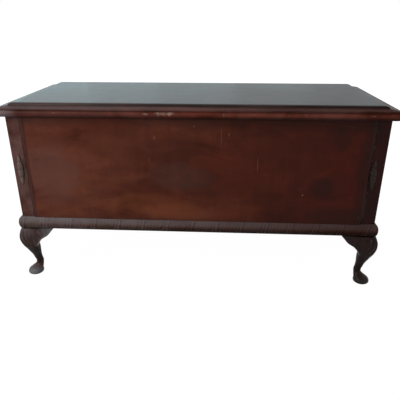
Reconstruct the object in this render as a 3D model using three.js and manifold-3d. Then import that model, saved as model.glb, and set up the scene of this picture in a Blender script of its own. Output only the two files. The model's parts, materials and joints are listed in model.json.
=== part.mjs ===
// Cedar chest on four cabriole legs, with a hinged lid that a folding brass stay holds open.
// Millimetres, +Z up, the front towards -Y. The origin is on the floor under the middle of the case.
import * as THREE from 'three';
import { mergeVertices } from 'three/addons/utils/BufferGeometryUtils.js';
import Module from 'manifold-3d';

const wasm = await Module();
wasm.setup();

// Gaps: a glue line between boards, and the running clearances of the brass work
const glueLine = 0.25;
const lidSeat = 0.25;
const screwClearance = 0.2;
const pivotClearance = 0.3;
const overrun = 5;

// Case
const caseWidth = 1190;
const caseDepth = 470;
const caseHeight = 344.5;
const wallThickness = 22;
const stileWidth = 41;
const panelProud = 7;
const panelBevel = 10;
const liningThickness = 6;
const liningDrop = 6;
const floorThickness = 12;
const floorBoardCount = 3;

// Base frame: a half-round moulding on three sides and a plain rail at the back
const frameHeight = 44.5;
const frameInset = 30;
const mouldingProjection = 12;
const mouldingRoundDepth = 9;
const mouldingSteps = 10;
const cornerBlockReach = 72;
const cornerBlockHeight = 36;
const cornerBlockChamfer = 8;

// Cabriole leg: the inset is from the corner of the case to the middle of the leg
const legHeight = 186.5;
const footWidth = 53;
const soleWidth = 38;
const footRimHeight = 10;
const footInset = 10.8;
const ankleWidth = 25;
const ankleHeight = 44;
const ankleInset = 24.4;
const kneeWidth = 54.3;
const kneeHeight = 148;
const kneeInset = 7.5;
const legTopWidth = 45;
const legTopInset = 11.5;
const pointsPerQuarter = 5;

// Each row: share of the way up, of the way to the next width, and of the way to the next inset
const footShares = [[0.25, 0.18, 0.12], [0.47, 0.57, 0.53], [0.71, 0.94, 0.9]];
const shinShares = [[0.15, 0.03, 0.15], [0.29, 0.14, 0.28], [0.42, 0.36, 0.42], [0.58, 0.6, 0.6],
  [0.71, 0.76, 0.8], [0.85, 0.91, 0.93]];
const kneeShares = [[0.3, 0.1, 0.1], [0.65, 0.5, 0.5]];
const soleRoundShares = [[0.35, 0.8, 0]];
const kneeRoundShare = 0.62;
const legTopRoundShare = 0.4;

// Wing beside a knee: rows of shares of its reach and of its drop, from the leg out to the tip
const wingReach = 66;
const wingDrop = 64;
const wingRootProud = 12;
const wingTipProud = 4;
const wingDepth = 26;
const wingEdgeRound = 5;
const wingShares = [[0, 1], [0.12, 0.88], [0.23, 0.76], [0.38, 0.63], [0.61, 0.48], [0.8, 0.26], [1, 0.04]];

// Carved drop on each front stile: a string of husks, each row its width and height share
const dropWidth = 20;
const dropHeight = 104;
const dropThickness = 7;
const dropBevel = 2;
const dropCentreDown = 175.5;
const dropInsetLeft = 22;
const dropInsetRight = 30.5;
const huskShares = [[0.56, 0.2], [0.78, 0.22], [1, 0.32], [0.62, 0.26]];
const huskEdgeShares = [[0.1, 0.45], [0.4, 0.72], [0.72, 1], [0.9, 0.72]];

// Lid: a raised field in a rebated frame, whose edge is a sloping ledge over a shallow cove and a bead
const lidThickness = 40.25;
const lidOverhang = 20;
const beadHeight = 24;
const beadSteps = 8;
const quirkInset = 4;
const coveRadius = 3.2;
const coveSteps = 4;
const ledgeBevel = 1.5;
const ledgeFall = 3.5;
const fieldInset = 30;
const fieldRise = 7.5;
const fieldEdgeRadius = 6;
const fieldEdgeSteps = 4;
const lidRailWidth = 45;
const lidBackRailWidth = 60;

// Brass butt hinges: the inset is from the end of the case to the middle of the hinge
const hingeInset = 215;
const leafLength = 64;
const leafWidth = 19;
const leafThickness = 1.75;
const knuckleRadius = 4;
const knuckleCount = 5;
const knuckleGap = 0.25;
const knuckleClearance = 0.1;
const knuckleTabOverlap = 1.5;
const pinRadius = 2;
const pinHeadRadius = 3;
const pinHeadLength = 1.2;
const roundSides = 16;

// Countersunk screws of the hinges
const screwSpacing = 38;
const screwHeadRadius = 3.4;
const screwHeadDepth = 1.6;
const screwShankRadius = 1.6;
const screwPointLength = 3;
const caseScrewLength = 14;
const lidScrewLength = 10;
const slotWidth = 0.8;
const slotDepth = 0.7;

// Folding stay: places are measured forward of the hinge axis and down from it
const stayCaseForward = 84;
const stayCaseDown = 176;
const stayLidForward = 196;
const stayLidDown = 14;
const armWidth = 13;
const armThickness = 2.5;
const studRadius = 3;
const studHeadRadius = 5;
const studHeadLength = 1.5;
const bracketThickness = 2.5;
const caseBracketWidth = 24;
const caseBracketHeight = 46;
const lidBracketLength = 44;
const lidBracketWidth = 14;
const armEndSteps = 8;

const finish = (color, roughness, metalness) => ({ color, roughness, metalness });
const showVeneer = finish(0x4a2218, 0.38, 0);
const caseWood = finish(0x3c211a, 0.42, 0);
const carvedWood = finish(0x33201a, 0.5, 0);
const lidVeneer = finish(0x3a2a29, 0.3, 0);
const plainWood = finish(0x5f4331, 0.7, 0);
const cedar = finish(0xa9623f, 0.75, 0);
const brass = finish(0xa8853c, 0.38, 1);
const steel = finish(0x77736c, 0.4, 1);

// Levels and planes that the pieces share
const halfWidth = caseWidth / 2;
const halfDepth = caseDepth / 2;
const frameTop = legHeight + frameHeight;
const caseBottom = frameTop + glueLine;
const caseTop = frameTop + caseHeight;
const lidBottom = caseTop + lidSeat;
const lidTop = lidBottom + lidThickness;
const floorTop = caseBottom + floorThickness;
const frontInside = -halfDepth - panelProud + wallThickness;
const backInside = halfDepth - wallThickness;
const sideInside = halfWidth - wallThickness;
const hingeY = halfDepth + glueLine + knuckleRadius;
const hingeZ = caseTop + lidSeat / 2;

const chest = new THREE.Group();
const caseGroup = new THREE.Group();
const baseGroup = new THREE.Group();
const lidGroup = new THREE.Group();
const stayGroup = new THREE.Group();
chest.add(caseGroup, baseGroup, lidGroup, stayGroup);

const mix = (from, to, share) => from + (to - from) * share;

function addPiece(group, name, geometry, look) {
  const mesh = new THREE.Mesh(geometry, new THREE.MeshStandardMaterial(look));
  mesh.name = name;
  group.add(mesh);
  return mesh;
}

// A board between two corners
function addBoard(group, name, low, high, look) {
  const size = high.map((value, i) => value - low[i]);
  const board = addPiece(group, name, new THREE.BoxGeometry(...size), look);
  board.position.set(...high.map((value, i) => (value + low[i]) / 2));
  return board;
}

function boxBetween(low, high) {
  const size = high.map((value, i) => value - low[i]);
  const middle = high.map((value, i) => (value + low[i]) / 2);
  return new THREE.BoxGeometry(...size).translate(...middle);
}

// Six times the volume of a closed mesh, negative when its faces point in
function signedVolume(points, triangles) {
  const corner = (i) => points[triangles[i]];
  let total = 0;
  for (let i = 0; i < triangles.length; i += 3) {
    total += corner(i).dot(new THREE.Vector3().crossVectors(corner(i + 1), corner(i + 2)));
  }
  return total;
}

// A closed body through rings of equally many points; the cap is cut from the ring's flat outline
function loftRings(rings, flatOutline) {
  const count = rings[0].length;
  const points = rings.flat();
  const triangles = [];
  for (let r = 0; r + 1 < rings.length; r += 1) {
    for (let i = 0; i < count; i += 1) {
      const a = r * count + i;
      const b = r * count + ((i + 1) % count);
      triangles.push(a, b, b + count, a, b + count, a + count);
    }
  }
  const last = (rings.length - 1) * count;
  const turn = THREE.ShapeUtils.isClockWise(flatOutline) ? -1 : 1;
  for (const [a, b, c] of THREE.ShapeUtils.triangulateShape(flatOutline, [])) {
    const [p, q] = turn > 0 ? [b, c] : [c, b];
    triangles.push(a, q, p, last + a, last + p, last + q);
  }
  if (signedVolume(points, triangles) < 0) {
    for (let i = 0; i < triangles.length; i += 3) {
      [triangles[i + 1], triangles[i + 2]] = [triangles[i + 2], triangles[i + 1]];
    }
  }
  const geometry = new THREE.BufferGeometry().setFromPoints(points);
  geometry.setIndex(triangles);
  geometry.computeVertexNormals();
  return geometry;
}

// Closed meshes as solids, for cutting and joining
function solidOf(geometry) {
  const bare = geometry.clone();
  bare.deleteAttribute('normal');
  bare.deleteAttribute('uv');
  const merged = mergeVertices(bare);
  return new wasm.Manifold(new wasm.Mesh({
    numProp: 3,
    vertProperties: Float32Array.from(merged.attributes.position.array),
    triVerts: Uint32Array.from(merged.index.array),
  }));
}

function geometryOf(solid) {
  const mesh = solid.getMesh();
  const geometry = new THREE.BufferGeometry();
  geometry.setAttribute('position', new THREE.BufferAttribute(mesh.vertProperties, 3));
  geometry.setIndex(new THREE.BufferAttribute(mesh.triVerts, 1));
  geometry.computeVertexNormals();
  return geometry;
}

const joined = (geometries) => geometries.map(solidOf).reduce((whole, next) => whole.add(next));
const cutBy = (solid, tools) => tools.reduce((rest, tool) => rest.subtract(solidOf(tool)), solid);

// Base frame

function frameOutline() {
  const middle = legHeight + frameHeight / 2;
  const roundStart = mouldingProjection - mouldingRoundDepth;
  const outline = [new THREE.Vector2(-frameInset, legHeight)];
  for (let i = 0; i <= mouldingSteps; i += 1) {
    const angle = mix(-Math.PI / 2, Math.PI / 2, i / mouldingSteps);
    const out = roundStart + mouldingRoundDepth * Math.cos(angle);
    outline.push(new THREE.Vector2(out, middle + (frameHeight / 2) * Math.sin(angle)));
  }
  outline.push(new THREE.Vector2(-frameInset, frameTop));
  return outline;
}

// An outline of (out, height) run along the front between two mitres
function frontRun(outline) {
  const ring = (side) => outline.map(({ x: out, y: z }) =>
    new THREE.Vector3(side * (halfWidth + out - glueLine), -halfDepth - out, z));
  return loftRings([ring(-1), ring(1)], outline);
}

// The same outline run down one side, from its mitre to a square end at the back
function sideRun(outline, side) {
  const place = (out, z, y) => new THREE.Vector3(side * (halfWidth + out), y, z);
  const mitred = outline.map(({ x: out, y: z }) => place(out, z, -halfDepth - out + glueLine));
  const square = outline.map(({ x: out, y: z }) => place(out, z, halfDepth));
  return loftRings([mitred, square], outline);
}

function addCornerBlock(name, sideX, sideY) {
  const inner = frameInset + glueLine;
  const outline = [
    [inner, inner],
    [inner + cornerBlockReach, inner],
    [inner + cornerBlockReach, inner + cornerBlockChamfer],
    [inner + cornerBlockChamfer, inner + cornerBlockReach],
    [inner, inner + cornerBlockReach],
  ].map(([x, y]) => new THREE.Vector2(sideX * (halfWidth - x), sideY * (halfDepth - y)));
  const ring = (z) => outline.map(({ x, y }) => new THREE.Vector3(x, y, z));
  const geometry = loftRings([ring(legHeight), ring(legHeight + cornerBlockHeight)], outline);
  addPiece(baseGroup, name, geometry, plainWood);
}

// Legs

// Stations between two key sections of the leg, by rows of shares
function stationsBetween(low, high, shareRows) {
  return shareRows.map(([up, widthShare, insetShare]) => ({
    height: mix(low.height, high.height, up),
    width: mix(low.width, high.width, widthShare),
    inset: mix(low.inset, high.inset, insetShare),
    round: mix(low.round, high.round, up),
  }));
}

function legStations() {
  const sole = { height: 0, width: soleWidth, inset: footInset, round: 1 };
  const rim = { height: footRimHeight, width: footWidth, inset: footInset, round: 1 };
  const ankle = { height: ankleHeight, width: ankleWidth, inset: ankleInset, round: 1 };
  const knee = { height: kneeHeight, width: kneeWidth, inset: kneeInset, round: kneeRoundShare };
  const top = { height: legHeight - glueLine, width: legTopWidth, inset: legTopInset,
    round: legTopRoundShare };
  return [
    sole, ...stationsBetween(sole, rim, soleRoundShares),
    rim, ...stationsBetween(rim, ankle, footShares),
    ankle, ...stationsBetween(ankle, knee, shinShares),
    knee, ...stationsBetween(knee, top, kneeShares),
    top,
  ];
}

// A square with rounded corners about the middle, as points of (outward in X, outward in Y)
function roundedSquare(width, roundShare) {
  const radius = (width / 2) * roundShare;
  const straight = width / 2 - radius;
  const corners = [[1, 1], [-1, 1], [-1, -1], [1, -1]];
  return corners.flatMap(([x, y], quarter) => Array.from({ length: pointsPerQuarter }, (_, i) => {
    const angle = (quarter + (i + 1 / 2) / pointsPerQuarter) * (Math.PI / 2);
    return new THREE.Vector2(
      x * straight + radius * Math.cos(angle), y * straight + radius * Math.sin(angle));
  }));
}

function addLeg(name, sideX, sideY) {
  const rings = legStations().map(({ height, width, inset, round }) =>
    roundedSquare(width, round).map(({ x, y }) => new THREE.Vector3(
      sideX * (halfWidth - inset + x), sideY * (halfDepth - inset + y), height)));
  addPiece(baseGroup, name, loftRings(rings, roundedSquare(soleWidth, 1)), carvedWood);
}

// A wing grows inward from the leg; place turns (inward, outward, height) into a point of the chest
function addWing(name, place) {
  const root = Math.max(kneeInset + kneeWidth / 2, legTopInset + legTopWidth / 2) + glueLine;
  const top = legHeight - glueLine;
  const section = (along, dropShare) => {
    const front = mix(wingRootProud, wingTipProud, along);
    const back = front - wingDepth;
    const low = top - wingDrop * dropShare;
    const bend = Math.min(wingEdgeRound, wingDrop * dropShare / 2);
    return [[back, top], [back, low], [front - bend, low], [front - bend / 3, low + bend / 3],
      [front, low + bend], [front, top]].map(([out, z]) => new THREE.Vector2(out, z));
  };
  const rings = wingShares.map(([along, dropShare]) => section(along, dropShare).map(({ x: out, y: z }) =>
    place(root + wingReach * along, out, z)));
  addPiece(baseGroup, name, loftRings(rings, section(...wingShares[0])), carvedWood);
}

function addBase() {
  const outline = frameOutline();
  addPiece(baseGroup, 'base_moulding_front', frontRun(outline), carvedWood);
  addPiece(baseGroup, 'base_moulding_left', sideRun(outline, -1), carvedWood);
  addPiece(baseGroup, 'base_moulding_right', sideRun(outline, 1), carvedWood);
  const railEnd = halfWidth - frameInset - glueLine;
  addBoard(baseGroup, 'base_rail_back', [-railEnd, halfDepth - frameInset, legHeight],
    [railEnd, halfDepth, frameTop], plainWood);

  for (const [sideName, sideX] of [['left', -1], ['right', 1]]) {
    for (const [endName, sideY] of [['front', -1], ['back', 1]]) {
      const corner = `${endName}_${sideName}`;
      addLeg(`leg_${corner}`, sideX, sideY);
      addCornerBlock(`corner_block_${corner}`, sideX, sideY);
      addWing(`wing_${corner}_side`, (inward, out, z) =>
        new THREE.Vector3(sideX * (halfWidth + out), sideY * (halfDepth - inward), z));
    }
    addWing(`wing_front_${sideName}_face`, (inward, out, z) =>
      new THREE.Vector3(sideX * (halfWidth - inward), -halfDepth - out, z));
  }
}

// Case

// Outline of one carved drop, top to bottom on the right and back up on the left
function dropOutline() {
  const right = [];
  let top = dropHeight / 2;
  for (const [widthShare, heightShare] of huskShares) {
    for (const [down, out] of huskEdgeShares) {
      right.push([(dropWidth / 2) * widthShare * out, top - dropHeight * heightShare * down]);
    }
    top -= dropHeight * heightShare;
  }
  const left = right.map(([x, y]) => [-x, y]).reverse();
  const points = [[0, dropHeight / 2], ...right, [0, -dropHeight / 2], ...left];
  return new THREE.Shape(points.map(([x, y]) => new THREE.Vector2(x, y)));
}

function addDrop(name, side) {
  const geometry = new THREE.ExtrudeGeometry(dropOutline(), {
    depth: dropThickness - 2 * dropBevel,
    bevelThickness: dropBevel,
    bevelSize: dropBevel,
    bevelOffset: -dropBevel,
    bevelSegments: 1,
  });
  geometry.translate(0, 0, dropBevel);
  const drop = addPiece(caseGroup, name, geometry, carvedWood);
  drop.rotation.x = Math.PI / 2;
  const inset = side < 0 ? dropInsetLeft : dropInsetRight;
  drop.position.set(side * (halfWidth - inset), -halfDepth - glueLine, caseTop - dropCentreDown);
}

function frontPanelGeometry() {
  const end = halfWidth - stileWidth - glueLine;
  const face = -halfDepth - panelProud;
  const shape = new THREE.Shape([
    [-end, frontInside], [-end, -halfDepth], [-end + panelBevel, face],
    [end - panelBevel, face], [end, -halfDepth], [end, frontInside],
  ].map(([x, y]) => new THREE.Vector2(x, y)));
  const geometry = new THREE.ExtrudeGeometry(shape, { depth: caseTop - caseBottom, bevelEnabled: false });
  return geometry.translate(0, 0, caseBottom);
}

function addLinings() {
  const low = floorTop + glueLine;
  const high = caseTop - liningDrop;
  const end = sideInside - glueLine;
  const front = frontInside + glueLine;
  const back = backInside - glueLine;
  addBoard(caseGroup, 'lining_front', [-end, front, low], [end, front + liningThickness, high], cedar);
  addBoard(caseGroup, 'lining_back', [-end, back - liningThickness, low], [end, back, high], cedar);
  const sideFront = front + liningThickness + glueLine;
  const sideBack = back - liningThickness - glueLine;
  const liningFace = end - liningThickness;
  addBoard(caseGroup, 'lining_left', [-end, sideFront, low], [-liningFace, sideBack, high], cedar);
  addBoard(caseGroup, 'lining_right', [liningFace, sideFront, low], [end, sideBack, high], cedar);
}

function addFloor() {
  const length = 2 * (sideInside - glueLine);
  const front = frontInside + glueLine;
  const pitch = (backInside - frontInside - glueLine) / floorBoardCount;
  for (let i = 0; i < floorBoardCount; i += 1) {
    const y = front + i * pitch;
    addBoard(caseGroup, `floor_board_${i + 1}`, [-length / 2, y, caseBottom],
      [length / 2, y + pitch - glueLine, floorTop], cedar);
  }
}

function addCase(backPanelCuts) {
  addPiece(caseGroup, 'front_panel', frontPanelGeometry(), showVeneer);
  for (const [sideName, side] of [['left', -1], ['right', 1]]) {
    const ends = [side * halfWidth, side * (halfWidth - stileWidth)].sort((a, b) => a - b);
    addBoard(caseGroup, `stile_${sideName}`, [ends[0], -halfDepth, caseBottom],
      [ends[1], frontInside, caseTop], caseWood);
    const faces = [side * halfWidth, side * sideInside].sort((a, b) => a - b);
    addBoard(caseGroup, `side_panel_${sideName}`, [faces[0], frontInside + glueLine, caseBottom],
      [faces[1], halfDepth, caseTop], showVeneer);
    addDrop(`carved_drop_${sideName}`, side);
  }
  const backEnd = sideInside - glueLine;
  const backBoard = boxBetween([-backEnd, backInside, caseBottom], [backEnd, halfDepth, caseTop]);
  addPiece(caseGroup, 'back_panel', geometryOf(cutBy(solidOf(backBoard), backPanelCuts)), plainWood);
  addLinings();
  addFloor();
}

// Lid

const fieldOut = lidOverhang - fieldInset;
const rebateLevel = lidBottom + beadHeight;
const fieldBottom = rebateLevel + glueLine;
const ledgeTop = lidTop - fieldRise;

function lidRimOutline() {
  const beadRadius = beadHeight / 2;
  const beadMiddle = lidBottom + beadRadius;
  const beadEnd = Math.acos(1 - quirkInset / beadRadius);
  const outline = [new THREE.Vector2(-lidRailWidth, lidBottom)];
  for (let i = 0; i <= beadSteps; i += 1) {
    const angle = mix(-Math.PI / 2, beadEnd, i / beadSteps);
    const out = lidOverhang - beadRadius + beadRadius * Math.cos(angle);
    outline.push(new THREE.Vector2(out, beadMiddle + beadRadius * Math.sin(angle)));
  }
  const coveOut = lidOverhang - quirkInset + coveRadius;
  const coveBottom = beadMiddle + beadRadius * Math.sin(beadEnd);
  for (let i = 1; i <= coveSteps; i += 1) {
    const angle = mix(Math.PI, Math.PI / 2, i / coveSteps);
    outline.push(new THREE.Vector2(coveOut + coveRadius * Math.cos(angle),
      coveBottom + coveRadius * Math.sin(angle)));
  }
  outline.push(new THREE.Vector2(lidOverhang, coveBottom + coveRadius));
  outline.push(new THREE.Vector2(lidOverhang, ledgeTop - ledgeFall - ledgeBevel));
  outline.push(new THREE.Vector2(lidOverhang - ledgeBevel, ledgeTop - ledgeFall));
  outline.push(new THREE.Vector2(fieldOut, ledgeTop));
  outline.push(new THREE.Vector2(fieldOut, rebateLevel));
  outline.push(new THREE.Vector2(-lidRailWidth, rebateLevel));
  return outline;
}

// The field's edge is rounded on the front and the ends, and square at the back
function lidFieldGeometry() {
  const reach = fieldOut - glueLine;
  const outline = (inset) => {
    const x = halfWidth + reach - inset;
    const front = -halfDepth - reach + inset;
    return [[-x, front], [x, front], [x, halfDepth], [-x, halfDepth]].map(([px, py]) =>
      new THREE.Vector2(px, py));
  };
  const ring = (inset, z) => outline(inset).map(({ x, y }) => new THREE.Vector3(x, y, z));
  const rings = [ring(0, fieldBottom)];
  for (let i = 0; i <= fieldEdgeSteps; i += 1) {
    const angle = mix(0, Math.PI / 2, i / fieldEdgeSteps);
    rings.push(ring(fieldEdgeRadius * (1 - Math.cos(angle)),
      lidTop - fieldEdgeRadius + fieldEdgeRadius * Math.sin(angle)));
  }
  return loftRings(rings, outline(0));
}

function addLid(backRailCuts) {
  addPiece(lidGroup, 'lid_field', lidFieldGeometry(), lidVeneer);
  const outline = lidRimOutline();
  addPiece(lidGroup, 'lid_rim_front', frontRun(outline), caseWood);
  addPiece(lidGroup, 'lid_rim_left', sideRun(outline, -1), caseWood);
  addPiece(lidGroup, 'lid_rim_right', sideRun(outline, 1), caseWood);
  const railEnd = halfWidth - lidRailWidth - glueLine;
  const rail = boxBetween([-railEnd, halfDepth - lidBackRailWidth, lidBottom],
    [railEnd, halfDepth, rebateLevel]);
  addPiece(lidGroup, 'lid_rail_back', geometryOf(cutBy(solidOf(rail), backRailCuts)), caseWood);
  addBoard(lidGroup, 'lid_lining',
    [-railEnd, -halfDepth + lidRailWidth + glueLine, rebateLevel - liningThickness],
    [railEnd, halfDepth - lidBackRailWidth - glueLine, rebateLevel], cedar);
}

// Hinges and their screws

function cylinderAlongX(radius, from, to, y, z) {
  const geometry = new THREE.CylinderGeometry(radius, radius, to - from, roundSides);
  return geometry.rotateZ(Math.PI / 2).translate((from + to) / 2, y, z);
}

// A countersunk screw standing on its point, its head's face at the origin; grow makes the hole for it
function screwGeometry(length, grow) {
  const rise = grow > 0 ? overrun : 0;
  const tip = -length - grow;
  const profile = [
    [0, rise], [screwHeadRadius + grow, rise], [screwHeadRadius + grow, 0],
    [screwShankRadius + grow, -screwHeadDepth], [screwShankRadius + grow, tip + screwPointLength], [0, tip],
  ].filter(([, y], i) => grow > 0 || i !== 1 || y !== 0);
  return new THREE.LatheGeometry(profile.map(([x, y]) => new THREE.Vector2(x, y)).reverse(), roundSides)
    .rotateX(Math.PI / 2);
}

// Screw places on one hinge: the case screws point down and the lid screws point up
function screwPlaces(hingeX) {
  const y = halfDepth - leafWidth / 2;
  return [-1, 1].map((side) => ({ x: hingeX + (side * screwSpacing) / 2, y }));
}

function screwAt({ x, y }, pointsUp, length, grow) {
  const geometry = screwGeometry(length, grow);
  if (pointsUp) geometry.rotateX(Math.PI);
  return geometry.translate(x, y, pointsUp ? lidBottom : caseTop);
}

function slotAt({ x, y }, pointsUp) {
  const face = pointsUp ? lidBottom : caseTop;
  const inward = pointsUp ? slotDepth : -slotDepth;
  const outward = pointsUp ? -overrun : overrun;
  const reach = screwHeadRadius + overrun;
  const ends = [face + inward, face + outward].sort((a, b) => a - b);
  return boxBetween([x - reach, y - slotWidth / 2, ends[0]], [x + reach, y + slotWidth / 2, ends[1]]);
}

function leafGeometry(hingeX, onLid) {
  const low = onLid ? lidBottom : caseTop - leafThickness;
  const high = low + leafThickness;
  const start = hingeX - leafLength / 2;
  const plateFront = halfDepth - leafWidth;
  const plate = boxBetween([start, plateFront, low], [start + leafLength, halfDepth, high]);
  const pieces = [plate];
  const pitch = leafLength / knuckleCount;
  for (let i = onLid ? 1 : 0; i < knuckleCount; i += 2) {
    const from = start + i * pitch + (i > 0 ? knuckleGap : 0);
    const to = start + (i + 1) * pitch;
    pieces.push(cylinderAlongX(knuckleRadius, from, to, hingeY, hingeZ));
    pieces.push(boxBetween([from, halfDepth - knuckleTabOverlap, low],
      [to, hingeY - pinRadius - knuckleClearance, high]));
  }
  const bore = cylinderAlongX(pinRadius + knuckleClearance, start - overrun, start + leafLength + overrun,
    hingeY, hingeZ);
  const length = onLid ? lidScrewLength : caseScrewLength;
  const holes = screwPlaces(hingeX).map((place) => screwAt(place, onLid, length, screwClearance));
  return geometryOf(cutBy(joined(pieces), [bore, ...holes]));
}

function pinGeometry(hingeX) {
  const reach = leafLength / 2 + knuckleGap;
  const profile = [
    [0, -reach - pinHeadLength], [pinHeadRadius, -reach - pinHeadLength / 2], [pinHeadRadius, -reach],
    [pinRadius, -reach], [pinRadius, reach], [pinHeadRadius, reach],
    [pinHeadRadius, reach + pinHeadLength / 2], [0, reach + pinHeadLength],
  ];
  return new THREE.LatheGeometry(profile.map(([x, y]) => new THREE.Vector2(x, y)), roundSides)
    .rotateZ(Math.PI / 2).translate(hingeX, hingeY, hingeZ);
}

// What is cut from the wood for a leaf: its recess and the screws' pilot holes
function leafRecess(hingeX, onLid) {
  const reach = leafLength / 2 + glueLine;
  const low = onLid ? lidBottom - overrun : caseTop - leafThickness - glueLine;
  const high = onLid ? lidBottom + leafThickness + glueLine : caseTop + overrun;
  const recess = boxBetween([hingeX - reach, halfDepth - leafWidth - glueLine, low],
    [hingeX + reach, halfDepth + overrun, high]);
  const length = onLid ? lidScrewLength : caseScrewLength;
  return [recess, ...screwPlaces(hingeX).map((place) => screwAt(place, onLid, length, screwClearance))];
}

function addHinge(name, hingeX) {
  addPiece(caseGroup, `hinge_${name}_case_leaf`, leafGeometry(hingeX, false), brass);
  addPiece(lidGroup, `hinge_${name}_lid_leaf`, leafGeometry(hingeX, true), brass);
  addPiece(caseGroup, `hinge_${name}_pin`, pinGeometry(hingeX), steel);
  screwPlaces(hingeX).forEach((place, i) => {
    const caseScrew = cutBy(solidOf(screwAt(place, false, caseScrewLength, 0)), [slotAt(place, false)]);
    addPiece(caseGroup, `hinge_${name}_case_screw_${i + 1}`, geometryOf(caseScrew), steel);
    const lidScrew = cutBy(solidOf(screwAt(place, true, lidScrewLength, 0)), [slotAt(place, true)]);
    addPiece(lidGroup, `hinge_${name}_lid_screw_${i + 1}`, geometryOf(lidScrew), steel);
  });
}

// Folding stay: its four pivots stand on the corners of a parallelogram, so each arm turns as far as the lid

const alongX = new THREE.Matrix4().makeBasis(
  new THREE.Vector3(0, 1, 0), new THREE.Vector3(0, 0, 1), new THREE.Vector3(1, 0, 0));

// A flat bar from the origin along +Y with round ends and an eye at each chosen end
function armGeometry(length, eyes) {
  const shape = new THREE.Shape();
  shape.absarc(length, 0, armWidth / 2, -Math.PI / 2, Math.PI / 2, false);
  shape.absarc(0, 0, armWidth / 2, Math.PI / 2, (3 * Math.PI) / 2, false);
  for (const eye of eyes) {
    const hole = new THREE.Path();
    hole.absarc(eye, 0, studRadius + pivotClearance, 0, 2 * Math.PI, true);
    shape.holes.push(hole);
  }
  const settings = { depth: armThickness, bevelEnabled: false, curveSegments: armEndSteps };
  return new THREE.ExtrudeGeometry(shape, settings).applyMatrix4(alongX);
}

// A stud along X with a riveted head at its far end
function studPieces(fromX, towards, y, z) {
  const bearing = armThickness + 2 * pivotClearance;
  const headStart = fromX + towards * bearing;
  const headEnd = headStart + towards * studHeadLength;
  const root = fromX - towards * studHeadLength;
  const between = (radius, a, b) => cylinderAlongX(radius, Math.min(a, b), Math.max(a, b), y, z);
  return [between(studRadius, root, (headStart + headEnd) / 2), between(studHeadRadius, headStart, headEnd)];
}

function addStay() {
  const liningFace = sideInside - glueLine - liningThickness;
  const caseBracketFace = liningFace - glueLine - bracketThickness;
  const lowerArmFace = caseBracketFace - pivotClearance - armThickness;
  const upperArmFace = lowerArmFace - pivotClearance - armThickness;
  const earFace = upperArmFace - pivotClearance;
  const caseY = hingeY - stayCaseForward;
  const caseZ = hingeZ - stayCaseDown;
  const lidY = hingeY - stayLidForward;
  const lidZ = hingeZ - stayLidDown;

  const plateLow = [caseBracketFace, caseY - caseBracketWidth / 2, caseZ - caseBracketHeight / 2];
  const plateHigh = [caseBracketFace + bracketThickness, caseY + caseBracketWidth / 2,
    caseZ + caseBracketHeight / 2];
  const caseStud = studPieces(caseBracketFace, -1, caseY, caseZ);
  const caseBracket = joined([boxBetween(plateLow, plateHigh), ...caseStud]);
  addPiece(stayGroup, 'stay_case_bracket', geometryOf(caseBracket), brass);

  const earBack = earFace - bracketThickness;
  const earReach = studHeadRadius * 2;
  const flange = boxBetween([earBack, lidY - lidBracketLength / 2, caseTop - bracketThickness],
    [earBack + lidBracketWidth, lidY + lidBracketLength / 2, caseTop]);
  const ear = boxBetween([earBack, lidY - earReach, lidZ - earReach], [earFace, lidY + earReach, caseTop]);
  const lidBracket = joined([flange, ear, ...studPieces(earFace, 1, lidY, lidZ)]);
  addPiece(stayGroup, 'stay_lid_bracket', geometryOf(lidBracket), brass);

  const lowerLength = Math.hypot(stayLidForward, stayLidDown);
  const kneeStud = studPieces(0, -1, lowerLength, 0);
  const lowerArm = joined([armGeometry(lowerLength, [0]), ...kneeStud]);
  const lower = addPiece(stayGroup, 'stay_lower_arm', geometryOf(lowerArm), brass);
  lower.position.set(lowerArmFace, caseY, caseZ);
  lower.rotation.x = Math.atan2(-stayLidDown, -stayLidForward);

  const upperLength = Math.hypot(stayCaseForward, stayCaseDown);
  const upper = addPiece(stayGroup, 'stay_upper_arm', armGeometry(upperLength, [0, upperLength]), brass);
  upper.position.set(upperArmFace, lidY, lidZ);
  upper.rotation.x = Math.atan2(-stayCaseDown, -stayCaseForward);
}

const hinges = [['left', hingeInset - halfWidth], ['right', halfWidth - hingeInset]];
addCase(hinges.flatMap(([, x]) => leafRecess(x, false)));
addBase();
addLid(hinges.flatMap(([, x]) => leafRecess(x, true)));
hinges.forEach(([name, x]) => addHinge(name, x));
addStay();

export default chest;
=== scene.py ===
import json
import math

import bmesh
import bpy
import numpy as np
from mathutils import Matrix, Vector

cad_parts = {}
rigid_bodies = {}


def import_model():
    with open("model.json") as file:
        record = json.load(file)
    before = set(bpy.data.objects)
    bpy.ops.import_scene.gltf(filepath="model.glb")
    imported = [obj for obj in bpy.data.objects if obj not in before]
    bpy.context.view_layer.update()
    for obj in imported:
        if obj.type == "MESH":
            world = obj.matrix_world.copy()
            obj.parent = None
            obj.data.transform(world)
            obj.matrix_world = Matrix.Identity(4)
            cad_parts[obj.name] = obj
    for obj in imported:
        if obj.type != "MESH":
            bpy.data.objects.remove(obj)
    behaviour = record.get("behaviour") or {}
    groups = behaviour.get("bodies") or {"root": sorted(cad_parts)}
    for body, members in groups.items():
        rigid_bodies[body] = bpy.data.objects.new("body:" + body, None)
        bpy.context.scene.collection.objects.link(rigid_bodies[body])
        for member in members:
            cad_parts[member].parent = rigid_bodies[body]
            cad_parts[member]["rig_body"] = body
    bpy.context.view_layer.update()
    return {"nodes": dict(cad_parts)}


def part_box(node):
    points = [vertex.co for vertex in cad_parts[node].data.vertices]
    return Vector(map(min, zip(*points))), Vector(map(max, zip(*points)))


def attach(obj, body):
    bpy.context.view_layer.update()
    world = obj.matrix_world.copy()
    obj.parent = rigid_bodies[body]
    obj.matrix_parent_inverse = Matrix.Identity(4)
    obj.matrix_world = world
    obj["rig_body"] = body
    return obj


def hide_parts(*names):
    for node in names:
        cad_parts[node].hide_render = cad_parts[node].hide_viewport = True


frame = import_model()
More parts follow.
